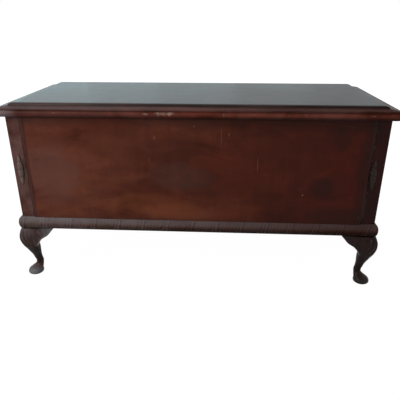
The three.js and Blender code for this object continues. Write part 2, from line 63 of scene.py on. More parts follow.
mm = 0.001
print("frame loaded with", len(frame["nodes"]), "nodes")

# Planes that several pieces share, read from the frame
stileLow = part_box("stile_left")[0]
caseFront = stileLow.y
caseLeft = stileLow.x
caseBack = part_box("back_panel")[1].y
caseRight = -caseLeft
glueLine = 0.25 * mm
tiny = 1e-12


# Camera at the photograph's place

viewSettings = {
    "place": (91.8 * mm, -1540 * mm, 864.7 * mm),
    "turn": 0.0569,  # towards the left end, in radians
    "tilt": 0.405,  # down
    "roll": -0.0012,
    "lens": 38.72,
    "sensor": 36.0,
}


def makeCamera():
    lens = bpy.data.cameras.new("photoCamera")
    lens.lens = viewSettings["lens"]
    lens.sensor_width = viewSettings["sensor"]
    lens.clip_end = 60
    camera = bpy.data.objects.new("photoCamera", lens)
    turn = Matrix.Rotation(viewSettings["turn"], 4, "Z")
    tilt = Matrix.Rotation(math.pi / 2 - viewSettings["tilt"], 4, "X")
    roll = Matrix.Rotation(viewSettings["roll"], 4, "Z")
    camera.matrix_world = Matrix.Translation(viewSettings["place"]) @ turn @ tilt @ roll
    bpy.context.scene.collection.objects.link(camera)
    bpy.context.scene.camera = camera


makeCamera()
bpy.context.scene.view_settings.view_transform = "Standard"
print("camera placed")


# Shader nodes written as expressions

class Wire:
    def __init__(self, sheet, socket):
        self.sheet = sheet
        self.socket = socket

    def calc(self, operation, *values):
        return self.sheet.node("ShaderNodeMath", {"operation": operation}, values)

    def __add__(self, other):
        return self.calc("ADD", self, other)

    def __sub__(self, other):
        return self.calc("SUBTRACT", self, other)

    def __rsub__(self, other):
        return self.calc("SUBTRACT", other, self)

    def __mul__(self, other):
        return self.calc("MULTIPLY", self, other)

    def __truediv__(self, other):
        return self.calc("DIVIDE", self, other)

    def __pow__(self, other):
        return self.calc("POWER", self, other)

    def __abs__(self):
        return self.calc("ABSOLUTE", self)

    def clip(self):
        return self.sheet.node("ShaderNodeClamp", inputs=[self])

    def step(self, low, high):  # 0 below low, 1 above high, smooth between
        settings = {"interpolation_type": "SMOOTHSTEP"}
        inputs = {"Value": self, "From Min": low, "From Max": high}
        return self.sheet.node("ShaderNodeMapRange", settings, inputs)

    __radd__ = __add__
    __rmul__ = __mul__


class Sheet:
    def __init__(self, owner):
        owner.use_nodes = True
        self.tree = owner.node_tree
        self.tree.nodes.clear()

    def node(self, kind, settings=None, inputs=(), output=0):
        made = self.tree.nodes.new(kind)
        for key, value in (settings or {}).items():
            if key == "stops":
                self.setStops(made.color_ramp, value)
            else:
                setattr(made, key, value)
        pairs = inputs.items() if isinstance(inputs, dict) else enumerate(inputs)
        for key, value in pairs:
            if isinstance(value, Wire):
                self.tree.links.new(value.socket, made.inputs[key])
            else:
                made.inputs[key].default_value = value
        return Wire(self, made.outputs[output]) if made.outputs else None

    def setStops(self, ramp, stops):
        while len(ramp.elements) < len(stops):
            ramp.elements.new(1)
        for element, (place, colour) in zip(ramp.elements, stops):
            element.position = place
            element.color = tone(colour)

    def ramp(self, value, stops):
        return self.node("ShaderNodeValToRGB", {"stops": stops}, [value])

    def blend(self, share, first, second, way="MIX"):
        settings = {"data_type": "RGBA", "blend_type": way}
        return self.node("ShaderNodeMix", settings, {0: share, 6: first, 7: second}, 2)

    def stretch(self, place, across, along, grain):
        factors = [across] * 3
        factors["xyz".index(grain)] = along
        return self.node("ShaderNodeVectorMath", {"operation": "MULTIPLY"}, [place, factors])

    def cloud(self, place, scale=1.0, detail=2.0, warp=0.0, roughness=0.5):
        inputs = {"Vector": place, "Scale": scale, "Detail": detail, "Roughness": roughness,
                  "Distortion": warp}
        return self.node("ShaderNodeTexNoise", inputs=inputs)

    def mark(self, name):
        return self.node("ShaderNodeAttribute", {"attribute_name": name}, output="Fac")

    def bump(self, height, depth):
        return self.node("ShaderNodeBump", inputs={"Height": height, "Distance": depth, "Strength": 1})

    def axes(self, place):
        return [self.node("ShaderNodeSeparateXYZ", inputs=[place], output=i) for i in range(3)]

    def surface(self, **values):
        named = {key.replace("_", " "): value for key, value in values.items()}
        shader = self.node("ShaderNodeBsdfPrincipled", inputs=named)
        self.node("ShaderNodeOutputMaterial", inputs={"Surface": shader})


def tone(code):  # a web colour as linear RGBA
    parts = [int(code[i:i + 2], 16) / 255 for i in (0, 2, 4)]
    return [c / 12.92 if c < 0.04045 else ((c + 0.055) / 1.055) ** 2.4 for c in parts] + [1]


# Wood: ribbon figure, fibres, pores, patchy colour, worn edges and dirt in the hollows, with painted shade
# and a painted sheen

def makeWood(name, look, grain):
    material = bpy.data.materials.new(name)
    s = Sheet(material)
    place = s.node("ShaderNodeTexCoord", output="Object")
    ribbons = s.stretch(place, look["ribbon"], look["ribbon"] * look["ribbonShare"], grain)
    ribbon = s.cloud(ribbons, detail=3, warp=0.6)
    fibres = s.stretch(place, look["fibre"], look["fibre"] * look["fibreShare"], grain)
    fibre = s.cloud(fibres, detail=4, warp=0.3, roughness=0.6)
    pore = s.cloud(s.stretch(place, *look["pores"], grain), detail=1).step(*look["poreRange"])
    spread = s.stretch(place, *look["spread"], "x")
    patch = s.cloud(spread, scale=look["patch"], detail=3, warp=0.5)
    mottle = s.cloud(spread, scale=look["patch"] * 3.1, detail=2, warp=1.0)
    shares = zip(look["shares"], (ribbon, fibre, patch, mottle))
    figure = sum(share * part for share, part in shares) + 0.5 - 0.5 * sum(look["shares"])
    colour = s.ramp(figure, [(0.36, look["dark"]), (0.5, look["base"]), (0.64, look["light"])])
    colour = s.blend(pore * 0.45, colour, tone(look["pore"]))

    x, y, z = s.axes(place)
    # patchy dust, plus the sheen mark: a painted sheen that greys the colour where a glossy reflection of
    # the window would show
    dustAndPaintedSheen = patch.step(0.3, 0.7) * look["dustAndPaintedSheen"] + s.mark("sheen")
    # painted shade: the colour darkens towards one end to follow how the light falls across the piece; on
    # the front panel it is partly the veneer's own darker end
    if "fade" in look:  # darker towards one end
        side = (x + 0.5 * (patch - 0.5)).step(*look["fade"])
        colour = s.blend(side, colour, tone(look["shade"]), "MULTIPLY")
        dustAndPaintedSheen = dustAndPaintedSheen * (1 - look["dustAndSheenFade"] * side)
    for markX, markZ, halfWidth, halfHeight, strength in look.get("marks", ()):
        across, along = (x - markX * mm) / (halfWidth * mm), (z - markZ * mm) / (halfHeight * mm)
        mark = (1 - across * across - along * along).clip() * strength
        colour = s.blend(mark, colour, tone(look["worn"]))
    # soft patches of colour: some are stains, others are painted shade or painted light, as each look lists
    # them
    for markX, markZ, halfWidth, halfHeight, patchTone, strength in look.get("stainsAndPaintedLight", ()):
        across = (x - markX * mm) / (halfWidth * mm) + 1.2 * (mottle - 0.5)
        along = (z - markZ * mm) / (halfHeight * mm) + 1.2 * (patch - 0.5)
        share = (1 - across * across - along * along).step(0, 0.9) * strength
        colour = s.blend(share, colour, tone(patchTone))

    if "band" in look:  # a dark wavy band along the panel's left end
        band = look["band"]
        wavy = s.cloud(place, scale=7, detail=1) - 0.5
        away = abs(x - band["middle"] * mm - band["sway"] * mm * wavy)
        outside = away.step(band["half"] * mm, band["edge"] * mm)
        colour = s.blend((1 - outside) * band["strength"], colour, tone(band["colour"]))

    speckle = s.cloud(place, scale=260, detail=3)
    rubbed = s.mark("wear") * (s.cloud(place, scale=55, detail=4, roughness=0.65) + 0.2 * speckle - 0.1)
    worn = rubbed.step(*look["wearRange"])
    # dirt in the hollows together with painted shade: the same mark darkens undersides, the shadow under
    # overhangs and the less lit end of some pieces
    grime = (s.mark("grime") * (0.6 + 0.8 * s.cloud(place, scale=40, detail=3))).clip()
    flecks = s.cloud(s.stretch(place, *look["fleckScales"], grain), detail=2)
    fleck = flecks.step(*look["fleckRange"]) * look["flecks"]
    colour = s.blend(grime * 0.75, colour, tone(look["paintedShadeAndDirt"]))
    colour = s.blend(worn * look["wearDepth"] + fleck, colour, tone(look["worn"]))
    # dust and painted sheen, blended in as a grey tone
    colour = s.blend(dustAndPaintedSheen, colour, tone(look["dustAndSheenTone"]))

    rough = look["rough"] + 0.14 * (patch - 0.5) + 0.1 * worn + 0.16 * grime + 0.06 * pore
    height = fibre * 0.5 - pore * 0.7 + speckle * 0.12
    normal = s.bump(height, look["relief"] * mm)
    s.surface(Base_Color=colour, Roughness=rough, Normal=normal, Specular_IOR_Level=look["specular"],
              Coat_Weight=(1 - 0.8 * grime) * look["coat"], Coat_Roughness=look["coatRough"])
    return material


mahogany = {
    "dark": "3c170d", "base": "572717", "light": "6f3822", "pore": "200c07", "worn": "a98472",
    "paintedShadeAndDirt": "1c0d08", "shares": (0.24, 0.16, 0.5, 0.34), "ribbon": 42, "ribbonShare": 0.07, "fibre": 480,
    "fibreShare": 0.025, "pores": (1500, 70), "poreRange": (0.62, 0.71), "patch": 4.4, "spread": (1, 1),
    "wearRange": (0.46, 0.7), "wearDepth": 0.4, "flecks": 0.14, "fleckScales": (380, 24),
    "fleckRange": (0.73, 0.78), "dustAndPaintedSheen": 0.03, "dustAndSheenTone": "8b8a8c", "dustAndSheenFade": 0.8, "rough": 0.38,
    "relief": 0.12, "specular": 0.08, "coat": 0.02, "coatRough": 0.16,
}
# the panel darkens towards its right end, partly from its own veneer and partly as painted shade
panelLook = {
    **mahogany, "fade": (-0.2, 0.7), "shade": "c88478", "shares": (0.08, 0.07, 0.44, 0.24),
    "spread": (1.5, 0.7),
    "band": {"middle": -545, "half": 5, "edge": 13, "sway": 16, "colour": "38150c", "strength": 0.8},
    "marks": (  # x and z, half width and half height in mm, strength
        (0, 552, 1.6, 4, 0.7), (-125, 516, 1.8, 9, 0.35), (108, 528, 1.8, 8, 0.3),
        (-144, 443, 1.5, 12, 0.25), (200, 431, 1.5, 34, 0.3), (84, 520, 1.4, 38, 0.18),
        (349, 332, 2.6, 2.6, 0.8), (536, 257, 2.4, 7, 0.7),
    ),
    # the dark patches at the right end and along the top right are painted shade, the warm light ones low on
    # the left are painted light thrown up from the moulding, and the rest are patchy colour in the veneer
    "stainsAndPaintedLight": (  # x and z, half width and half height in mm, colour, strength
        (405, 352, 48, 50, "1d0b08", 0.56), (454, 522, 44, 50, "1d0b08", 0.5),
        (-90, 466, 200, 50, "2a100a", 0.3), (-168, 284, 190, 46, "84492c", 0.3),
        (-470, 400, 120, 120, "7a564e", 0.3), (470, 262, 150, 46, "240b05", 0.7),
        (545, 400, 40, 260, "1a0b07", 0.6), (-290, 470, 120, 60, "74402e", 0.3),
        (120, 400, 160, 90, "541d12", 0.3), (-60, 380, 120, 60, "54403a", 0.25),
        (400, 560, 220, 34, "240d07", 0.4), (-60, 262, 150, 34, "80452c", 0.4),
        (-330, 560, 160, 34, "6a3222", 0.4),
    ),
}
# the right stile is darkened as painted shade, and the left stile is greyed by dust and painted sheen
caseLook = {
    **mahogany, "dark": "3a1d18", "base": "522d25", "light": "663e35", "patch": 11, "fade": (-0.3, 0.6),
    "shade": "8c524a", "dustAndSheenFade": 0.97, "shares": (0.12, 0.1, 0.5, 0.3), "dustAndPaintedSheen": 0.14,
    # a dark band beside the left drop; the right stile's dark band and its darker lower part are painted
    # shade
    "stainsAndPaintedLight": (
        (-560, 400, 9, 46, "3a221a", 0.6), (560, 400, 9, 60, "140805", 0.6),
        (580, 300, 40, 80, "180907", 0.4),
    ),
}
# darker towards the right as painted shade
carvedLook = {
    **mahogany, "dark": "2c1813", "base": "41261e", "light": "573429", "worn": "8f766a", "paintedShadeAndDirt": "150c09",
    "shares": (0.3, 0.2, 0.4, 0.2), "ribbon": 60, "patch": 24, "wearRange": (0.36, 0.7), "wearDepth": 0.6,
    "dustAndPaintedSheen": 0.12, "rough": 0.4, "flecks": 0.08, "specular": 0.1, "coat": 0.06, "coatRough": 0.22,
    "fade": (-0.5, 0.6), "shade": "b39a90",
}
# darker towards the right as painted shade; dust and painted sheen take a blue-grey tone at the left
mouldingLook = {
    **carvedLook, "dark": "493127", "base": "624335", "light": "79594b", "worn": "8c786a",
    "wearRange": (0.3, 0.8), "wearDepth": 0.4, "dustAndPaintedSheen": 0.14, "specular": 0.03, "coat": 0.03, "rough": 0.55,
    "fade": (-0.4, 0.55), "shade": "c0a090", "dustAndSheenTone": "85868e", "dustAndSheenFade": 0.6,
    "shares": (0.12, 0.1, 0.3, 0.12), "patch": 12,
}
# the left end is darkened as painted shade, against the key lamp's light there
rimLook = {
    **mahogany, "dark": "58281e", "base": "73382b", "light": "864636", "patch": 9, "specular": 0.05,
    "rough": 0.5, "dustAndPaintedSheen": 0.06, "wearRange": (0.36, 0.62), "wearDepth": 0.6, "worn": "b09a90",
    "fade": (0.05, -0.3), "shade": "aa948a", "dustAndSheenFade": 0,
}
# the rim at the lid's ends: the rim wood darkened as painted shade, with more coat so that its reflection of
# the window reads grey
rimShadedEndLook = {
    **rimLook, "dark": "2c1c19", "base": "3c2722", "light": "4e332c", "coat": 0.14, "coatRough": 0.2,
    "fade": (2, 3),
}
# the right legs are darkened as painted shade; dust and painted sheen take a blue-grey tone from the window
legLook = {
    **carvedLook, "dark": "30201a", "base": "442c24", "light": "573c32", "dustAndPaintedSheen": 0.08, "fade": (-0.5, 0.5),
    "shade": "8a6a5c", "specular": 0.08, "coat": 0.07, "wearDepth": 0.4, "shares": (0.12, 0.1, 0.4, 0.2),
    "dustAndSheenTone": "868f98", "dustAndSheenFade": 0.9,
}
# the right drop is darkened as painted shade; the left is greyed by dust and painted sheen
dropLook = {
    **carvedLook, "dark": "4e3c33", "base": "664f44", "light": "80675a", "dustAndPaintedSheen": 0.3, "wearDepth": 0.35,
    "fade": (-0.3, 0.5), "shade": "786c58", "dustAndSheenFade": 0.85,
}
# darker towards the right as painted shade, where the lid mirrors less light
lidLook = {
    **mahogany, "dark": "241a18", "base": "33221f", "light": "442f2a", "worn": "7b665c", "ribbon": 30,
    "patch": 4, "dustAndPaintedSheen": 0.06, "rough": 0.45, "specular": 0.04, "coat": 0.138, "coatRough": 0.2,
    "flecks": 0.06, "wearDepth": 0.25, "fade": (-0.1, 0.7), "shade": "b4bcbe",
}
plainLook = {
    **mahogany, "dark": "553b29", "base": "77553c", "light": "92704f", "pore": "3a281b", "worn": "a58863",
    "paintedShadeAndDirt": "2c2018", "ribbon": 26, "fibre": 300, "patch": 6, "dustAndPaintedSheen": 0.08, "rough": 0.74, "relief": 0.3,
    "specular": 0.2, "coat": 0, "flecks": 0.05,
}


# Aromatic cedar: red heartwood with pale sapwood streaks and dark knots

cedarLook = {
    "heart": "9a4f35", "deep": "7a3624", "pale": "b8704c", "sap": "d9b283", "knot": "4a1e12",
    "paintedShadeAndDirt": "3a2015", "worn": "c99a72", "rings": (70, 3.2), "fibre": (700, 18), "streaks": (14, 1.1),
    "knots": (8, 4.5), "rough": 0.66, "relief": 0.25,
}


def makeCedar(name, grain):
    material = bpy.data.materials.new(name)
    s = Sheet(material)
    place = s.node("ShaderNodeTexCoord", output="Object")
    look = cedarLook
    rings = s.cloud(s.stretch(place, *look["rings"], grain), detail=3, warp=1.2)
    fibre = s.cloud(s.stretch(place, *look["fibre"], grain), detail=3)
    sap = s.cloud(s.stretch(place, *look["streaks"], grain), detail=3, warp=0.8).step(0.56, 0.66)
    stops = [(0.36, look["deep"]), (0.5, look["heart"]), (0.64, look["pale"])]
    colour = s.ramp(rings * 0.7 + fibre * 0.3, stops)
    colour = s.blend(sap * 0.75, colour, tone(look["sap"]))
    cells = {"Vector": s.stretch(place, *look["knots"], grain), "Scale": 1.0, "Randomness": 1.0}
    knot = 1 - s.node("ShaderNodeTexVoronoi", inputs=cells, output="Distance").step(0.09, 0.15)
    colour = s.blend(knot * 0.85, colour, tone(look["knot"]))
    colour = s.blend(s.mark("grime").clip() * 0.6, colour, tone(look["paintedShadeAndDirt"]))
    colour = s.blend((s.mark("wear") * 0.35).clip(), colour, tone(look["worn"]))
    normal = s.bump(fibre * 0.5 + rings * 0.3 - knot * 0.2, look["relief"] * mm)
    s.surface(Base_Color=colour, Roughness=look["rough"] + 0.1 * (rings - 0.5), Normal=normal,
              Specular_IOR_Level=0.3)
    return material


# Metals: aged brass with brown tarnish, and dull steel

def makeMetal(name, look):
    material = bpy.data.materials.new(name)
    s = Sheet(material)
    place = s.node("ShaderNodeTexCoord", output="Object")
    brushed = s.cloud(s.stretch(place, 900, 120, "x"), detail=3)
    tarnish = s.cloud(place, scale=160, detail=5, roughness=0.62).step(0.42, 0.64)
    spots = s.cloud(place, scale=900, detail=2).step(0.62, 0.7)
    colour = s.blend(brushed, tone(look["base"]), tone(look["bright"]))
    colour = s.blend(tarnish * look["tarnishDepth"], colour, tone(look["tarnish"]))
    colour = s.blend(spots * 0.5, colour, tone(look["spot"]))
    rough = look["rough"] + 0.22 * tarnish + 0.12 * spots + 0.1 * (brushed - 0.5)
    normal = s.bump(brushed * 0.4 - spots, look["relief"] * mm)
    s.surface(Base_Color=colour, Roughness=rough, Metallic=1 - 0.35 * spots - 0.2 * tarnish, Normal=normal)
    return material


brassLook = {
    "base": "8f7037", "bright": "b08c4a", "tarnish": "4d3a1f", "spot": "2c2418", "rough": 0.34,
    "tarnishDepth": 0.6, "relief": 0.03,
}
steelLook = {
    **brassLook, "base": "63605b", "bright": "86827b", "tarnish": "40382f", "spot": "3b2619", "rough": 0.4,
    "tarnishDepth": 0.5,
}

finishes = {
    "panel": makeWood("panelVeneer", panelLook, "z"),
    "side": makeWood("sideVeneer", {**mahogany, "base": "4f2316", "light": "64311f"}, "z"),
    "stile": makeWood("stileWood", caseLook, "z"),
    "rim": makeWood("rimWood", rimLook, "x"),
    "rimSide": makeWood("rimWoodSide", rimShadedEndLook, "y"),
    "moulding": makeWood("mouldingWood", mouldingLook, "x"),
    "mouldingSide": makeWood("mouldingWoodSide", mouldingLook, "y"),
    "leg": makeWood("legWood", legLook, "z"),
    "drop": makeWood("dropWood", dropLook, "z"),
    "lid": makeWood("lidVeneer", lidLook, "x"),
    "plain": makeWood("plainWood", plainLook, "x"),
    "cedar": makeCedar("cedarBoards", "x"),
    "cedarSide": makeCedar("cedarBoardsSide", "y"),
    "brass": makeMetal("agedBrass", brassLook),
    "steel": makeMetal("dullSteel", steelLook),
}
print("finishes made")


# Meshes

def addPiece(name, shape, finish, nodes, crease=40):
    points, faces, marks = shape
    mesh = bpy.data.meshes.new(name)
    mesh.from_pydata(np.asarray(points).tolist(), [], faces)
    for key, values in marks.items():
        layer = mesh.attributes.new(key, "FLOAT", "POINT")
        layer.data.foreach_set("value", np.asarray(values, np.float32).ravel())
    work = bmesh.new()
    work.from_mesh(mesh)
    bmesh.ops.recalc_face_normals(work, faces=work.faces)
    work.to_mesh(mesh)
    work.free()
    mesh.shade_smooth()
    mesh.set_sharp_from_angle(angle=math.radians(crease))
    mesh.materials.append(finishes[finish])
    piece = bpy.data.objects.new(name, mesh)
    bpy.context.scene.collection.objects.link(piece)
    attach(piece, frame["nodes"][nodes[0]]["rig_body"])
    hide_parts(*nodes)


def loft(rings, marks):  # a closed skin through rings of equally many points
    rings = np.asarray(rings)
    rows, count = rings.shape[:2]
    faces = []
    for r in range(rows - 1):
        for i in range(count):
            j = (i + 1) % count
            faces.append((r * count + i, r * count + j, (r + 1) * count + j, (r + 1) * count + i))
    faces.append(tuple(range(count)))
    faces.append(tuple(range((rows - 1) * count, rows * count)))
    return rings.reshape(-1, 3), faces, marks


def joinShapes(shapes):
    points, faces, marks = [], [], {}
    for shapePoints, shapeFaces, shapeMarks in shapes:
        start = sum(len(p) for p in points)
        points.append(shapePoints)
        faces += [tuple(i + start for i in face) for face in shapeFaces]
        for key, values in shapeMarks.items():
            marks.setdefault(key, []).append(np.ravel(values))
    return np.concatenate(points), faces, {key: np.concatenate(values) for key, values in marks.items()}


def ringNormals(grid):  # outward up to sign, for a grid of points whose rows are closed rings
    alongRows = np.gradient(grid, axis=0)
    alongRing = np.roll(grid, -1, 1) - np.roll(grid, 1, 1)
    normals = np.cross(alongRing, alongRows)
    return normals / np.maximum(np.linalg.norm(normals, axis=2, keepdims=True), tiny)


def softStep(value, low, high):  # 0 below low, 1 above high, smooth between
    t = np.clip((value - low) / (high - low), 0, 1)
    return t * t * (3 - 2 * t)


def softFall(value, low, high):
    return 1 - softStep(value, low, high)


def hump(offset, width):  # a bell, 1 in its middle
    return np.exp(-((offset / width) ** 2))


def wave(turns):  # from 0 to 1 and back, once a turn
    return 0.5 + 0.5 * np.cos(2 * math.pi * turns)


def smoothRun(knots, values, x):  # a curve through the rows, with slopes from their neighbours
    knots, values = np.asarray(knots, float), np.asarray(values, float)
    slopes = np.gradient(values, knots)
    i = np.clip(np.searchsorted(knots, x) - 1, 0, len(knots) - 2)
    gap = knots[i + 1] - knots[i]
    t = (x - knots[i]) / gap
    start = (2 * t**3 - 3 * t**2 + 1) * values[i] + (t**3 - 2 * t**2 + t) * gap * slopes[i]
    return start + (3 * t**2 - 2 * t**3) * values[i + 1] + (t**3 - t**2) * gap * slopes[i + 1]


def waver(x, seed):  # slow hand-work unevenness, from -1 to 1
    return (np.sin(x * 31 + seed) + np.sin(x * 73 + seed * 2.3) + np.sin(x * 157 + seed * 4.1)) / 3


# Boards: rounded arrises, with a band along each edge for the wear

boardSettings = {"arris": 0.9 * mm, "band": 5 * mm, "pitch": 70 * mm}
plankSettings = {**boardSettings, "arris": 1.2 * mm, "band": 4 * mm}


def boardShape(low, high, settings):
    low, high = np.array(low), np.array(high)
    arris, band, pitch = settings["arris"], settings["band"], settings["pitch"]
    lines = []
    for a, b in zip(low, high):
        near = [0, 0.3 * arris, arris] + ([band] if b - a > 2.5 * band else [])
        inner = np.linspace(a + near[-1], b - near[-1], max(1, round((b - a) / pitch)) + 1)
        lines.append(np.unique(np.concatenate([a + np.array(near), inner, b - np.array(near)]).round(7)))
    places, points, faces, wear = {}, [], [], []

    def pointAt(p):
        key = tuple(p.round(7))
        if key not in places:
            places[key] = len(points)
            inner = np.clip(p, low + arris, high - arris)
            points.append(inner + (p - inner) / np.linalg.norm(p - inner) * arris)
            edge = np.sort(np.minimum(p - low, high - p))[1]
            wear.append(1 - np.clip((edge - arris) / (band - arris), 0, 1))
        return places[key]

    for axis in range(3):
        u, v = [i for i in range(3) if i != axis]
        for level in (low[axis], high[axis]):
            grid = []
            for a in lines[u]:
                row = []
                for b in lines[v]:
                    p = np.zeros(3)
                    p[axis], p[u], p[v] = level, a, b
                    row.append(pointAt(p))
                grid.append(row)
            for r in range(len(grid) - 1):
                for c in range(len(grid[0]) - 1):
                    faces.append((grid[r][c], grid[r + 1][c], grid[r + 1][c + 1], grid[r][c + 1]))
    return np.array(points), faces, {"wear": np.array(wear), "grime": np.zeros(len(points))}


def addBoard(node, finish):
    addPiece(node + "_board", boardShape(*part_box(node), boardSettings), finish, [node])


def addPlanks(node, count, axis, finish):  # one lining as matched boards with a V between them
    low, high = (np.array(corner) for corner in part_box(node))
    pitch = (high[axis] - low[axis]) / count
    shapes = []
    for i in range(count):
        start, end = low.copy(), high.copy()
        start[axis] = low[axis] + i * pitch
        end[axis] = start[axis] + pitch
        shapes.append(boardShape(start, end, plankSettings))
    addPiece(node + "_planks", joinShapes(shapes), finish, [node])


# Small pieces: the CAD shape with its sharp edges broken (angles in degrees)

refineSettings = {
    "weld": 0.01 * mm, "flat": 1, "sharp": 40, "crease": 32,
    "blockBevel": 0.8 * mm, "hingeBevel": 0.15 * mm, "stayBevel": 0.3 * mm,
}


def addRefined(node, finish, bevel):
    r = refineSettings
    flat, least = math.radians(r["flat"]), math.radians(r["sharp"])
    work = bmesh.new()
    work.from_mesh(frame["nodes"][node].data)
    bmesh.ops.remove_doubles(work, verts=work.verts, dist=r["weld"])
    bmesh.ops.dissolve_limit(work, angle_limit=flat, verts=work.verts, edges=work.edges)
    sharp = [e for e in work.edges if len(e.link_faces) == 2 and e.calc_face_angle(0) > least]
    if bevel:
        bmesh.ops.bevel(work, geom=sharp, offset=bevel, segments=2, affect="EDGES", clamp_overlap=True)
    bmesh.ops.triangulate(work, faces=[f for f in work.faces if len(f.verts) > 4])
    work.verts.ensure_lookup_table()
    points = [tuple(v.co) for v in work.verts]
    faces = [tuple(v.index for v in f.verts) for f in work.faces]
    work.free()
    addPiece(node + "_piece", (points, faces, {}), finish, [node], crease=r["crease"])


# Front panel: veneered, its ends bevelled down to the stiles

panelSettings = {
    "bevel": 10 * mm, "arris": 1.2 * mm, "pitch": 24 * mm, "wearBand": 4 * mm, "coarseTo": 60 * mm,
    "coarseRows": 14, "fineFrom": 48 * mm, "fineRows": 7, "footGrime": 12 * mm, "paintedShadeAtTop": 44 * mm,
}


def addFrontPanel():
    p = panelSettings
    low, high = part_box("front_panel")
    bevel, arris = p["bevel"], p["arris"]
    run = [(low.x, high.y, 0, 0), (low.x, caseFront + arris, 0, 1), (low.x, caseFront, 0, 1)]
    for share in (0.08, 0.35, 0.7):
        rise = share + 0.12 * share * (1 - share)
        run.append((low.x + bevel * share, caseFront + (low.y - caseFront) * rise, 0, 1 - share))
    for inset, drop, wear in ((0.93, 0.06, 0.6), (1.02, 0.0, 0.7), (1.0 + p["wearBand"] / bevel, 0, 0)):
        run.append((low.x + bevel * inset, low.y + (caseFront - low.y) * drop, wear, 0))
    mirrored = [(-x, y, wear, grime) for x, y, wear, grime in reversed(run)]
    start, end = run[-1][0], mirrored[0][0]
    middle = np.linspace(start, end, round((end - start) / p["pitch"]))[1:-1]
    ring = np.array(run + [(x, low.y, 0, 0) for x in middle] + mirrored)
    coarse = np.linspace(low.z, high.z - p["coarseTo"], p["coarseRows"])
    fine = np.linspace(high.z - p["fineFrom"], high.z, p["fineRows"])
    levels = np.concatenate([coarse, fine])
    rings = [[(x, y, z) for x, y, wear, grime in ring] for z in levels]
    # darker at the foot, and a painted shadow of the lid's overhang along the top; the end bevels are
    # darkened too
    atFoot = softFall(levels - low.z, 0, p["footGrime"])
    atTop = softFall(high.z - levels, 0, p["paintedShadeAtTop"])
    grime = np.maximum(ring[None, :, 3] * 0.8, (0.4 * atFoot + 0.75 * atTop)[:, None])
    wear = np.repeat(ring[None, :, 2] * (1 - 0.7 * softStep(ring[None, :, 0], 0, 0.3)), len(levels), 0)
    shape = loft(rings, {"wear": wear, "grime": grime})
    addPiece("front_panel_board", shape, "panel", ["front_panel"])


# Mitred mouldings: a profile of (out, height and two marks) run along the front or down an end

def runPoints(profile, side, count):  # side is 0 for the front, -1 for the left end, 1 for the right
    out, height = profile[:, 0], profile[:, 1]
    share = np.linspace(0, 1, count)[:, None]
    grid = np.zeros((count, len(profile), 3))
    grid[:, :, 2] = height
    if side == 0:
        grid[:, :, 0] = (2 * share - 1) * (caseRight + out - glueLine)
        grid[:, :, 1] = caseFront - out
        facing = np.array([0, -1.0, 0])
    else:
        start = caseFront - out + glueLine
        grid[:, :, 0] = side * (caseRight + out)
        grid[:, :, 1] = start + (caseBack - start) * share
        facing = np.array([side, 0, 0.0])
    before, after = np.roll(profile[:, :2], 1, 0), np.roll(profile[:, :2], -1, 0)
    turn = after - before
    normal = np.stack([turn[:, 1], -turn[:, 0]], 1)
    normal /= np.maximum(np.linalg.norm(normal, axis=1, keepdims=True), tiny)
    middle = profile[:, :2].mean(0)
    if ((profile[:, :2] - middle) * normal).sum() < 0:
        normal = -normal
    normals = normal[None, :, :1] * facing + normal[None, :, 1:] * np.array([0, 0, 1.0])
    length = grid[:, :, 0] if side == 0 else grid[:, :, 1]
    return grid, normals, length


# Base moulding: a half round cut with pairs of reels and, between them, long fluted leaves

mouldingSettings = {
    "roundDepth": 9 * mm, "faceSteps": 24, "pitch": 1.7 * mm, "unit": 83 * mm, "shift": -15 * mm,
    "lean": 5.88 * mm, "reelGap": 11.5 * mm, "reelWidth": 4 * mm, "reelHeight": 1.2 * mm,
    "leafEnd": 10.5 * mm, "leafHeight": 0.6 * mm, "veinDepth": 0.5 * mm, "flutePitch": 11.5 * mm,
    "fluteDepth": 0.3 * mm, "paintedShadowAt": 11 * mm, "paintedShadowWidth": 3.5 * mm, "sunk": 0.4 * mm,
    "mitreFade": (2 * mm, 7 * mm),
}


def mouldingProfile(low, high):  # its marks: 1 on the round, and the share of the round's half height
    m = mouldingSettings
    reach = caseFront - low.y
    inner = caseFront - high.y
    middle, half = (low.z + high.z) / 2, (high.z - low.z) / 2
    rows = [(inner, low.z, 0, 0)]
    for angle in np.linspace(-math.pi / 2, math.pi / 2, m["faceSteps"]):
        out = reach - m["roundDepth"] + m["roundDepth"] * math.cos(angle)
        rows.append((out, middle + half * math.sin(angle), 1, math.sin(angle)))
    rows.append((inner, high.z, 0, 0))
    return np.array(rows)


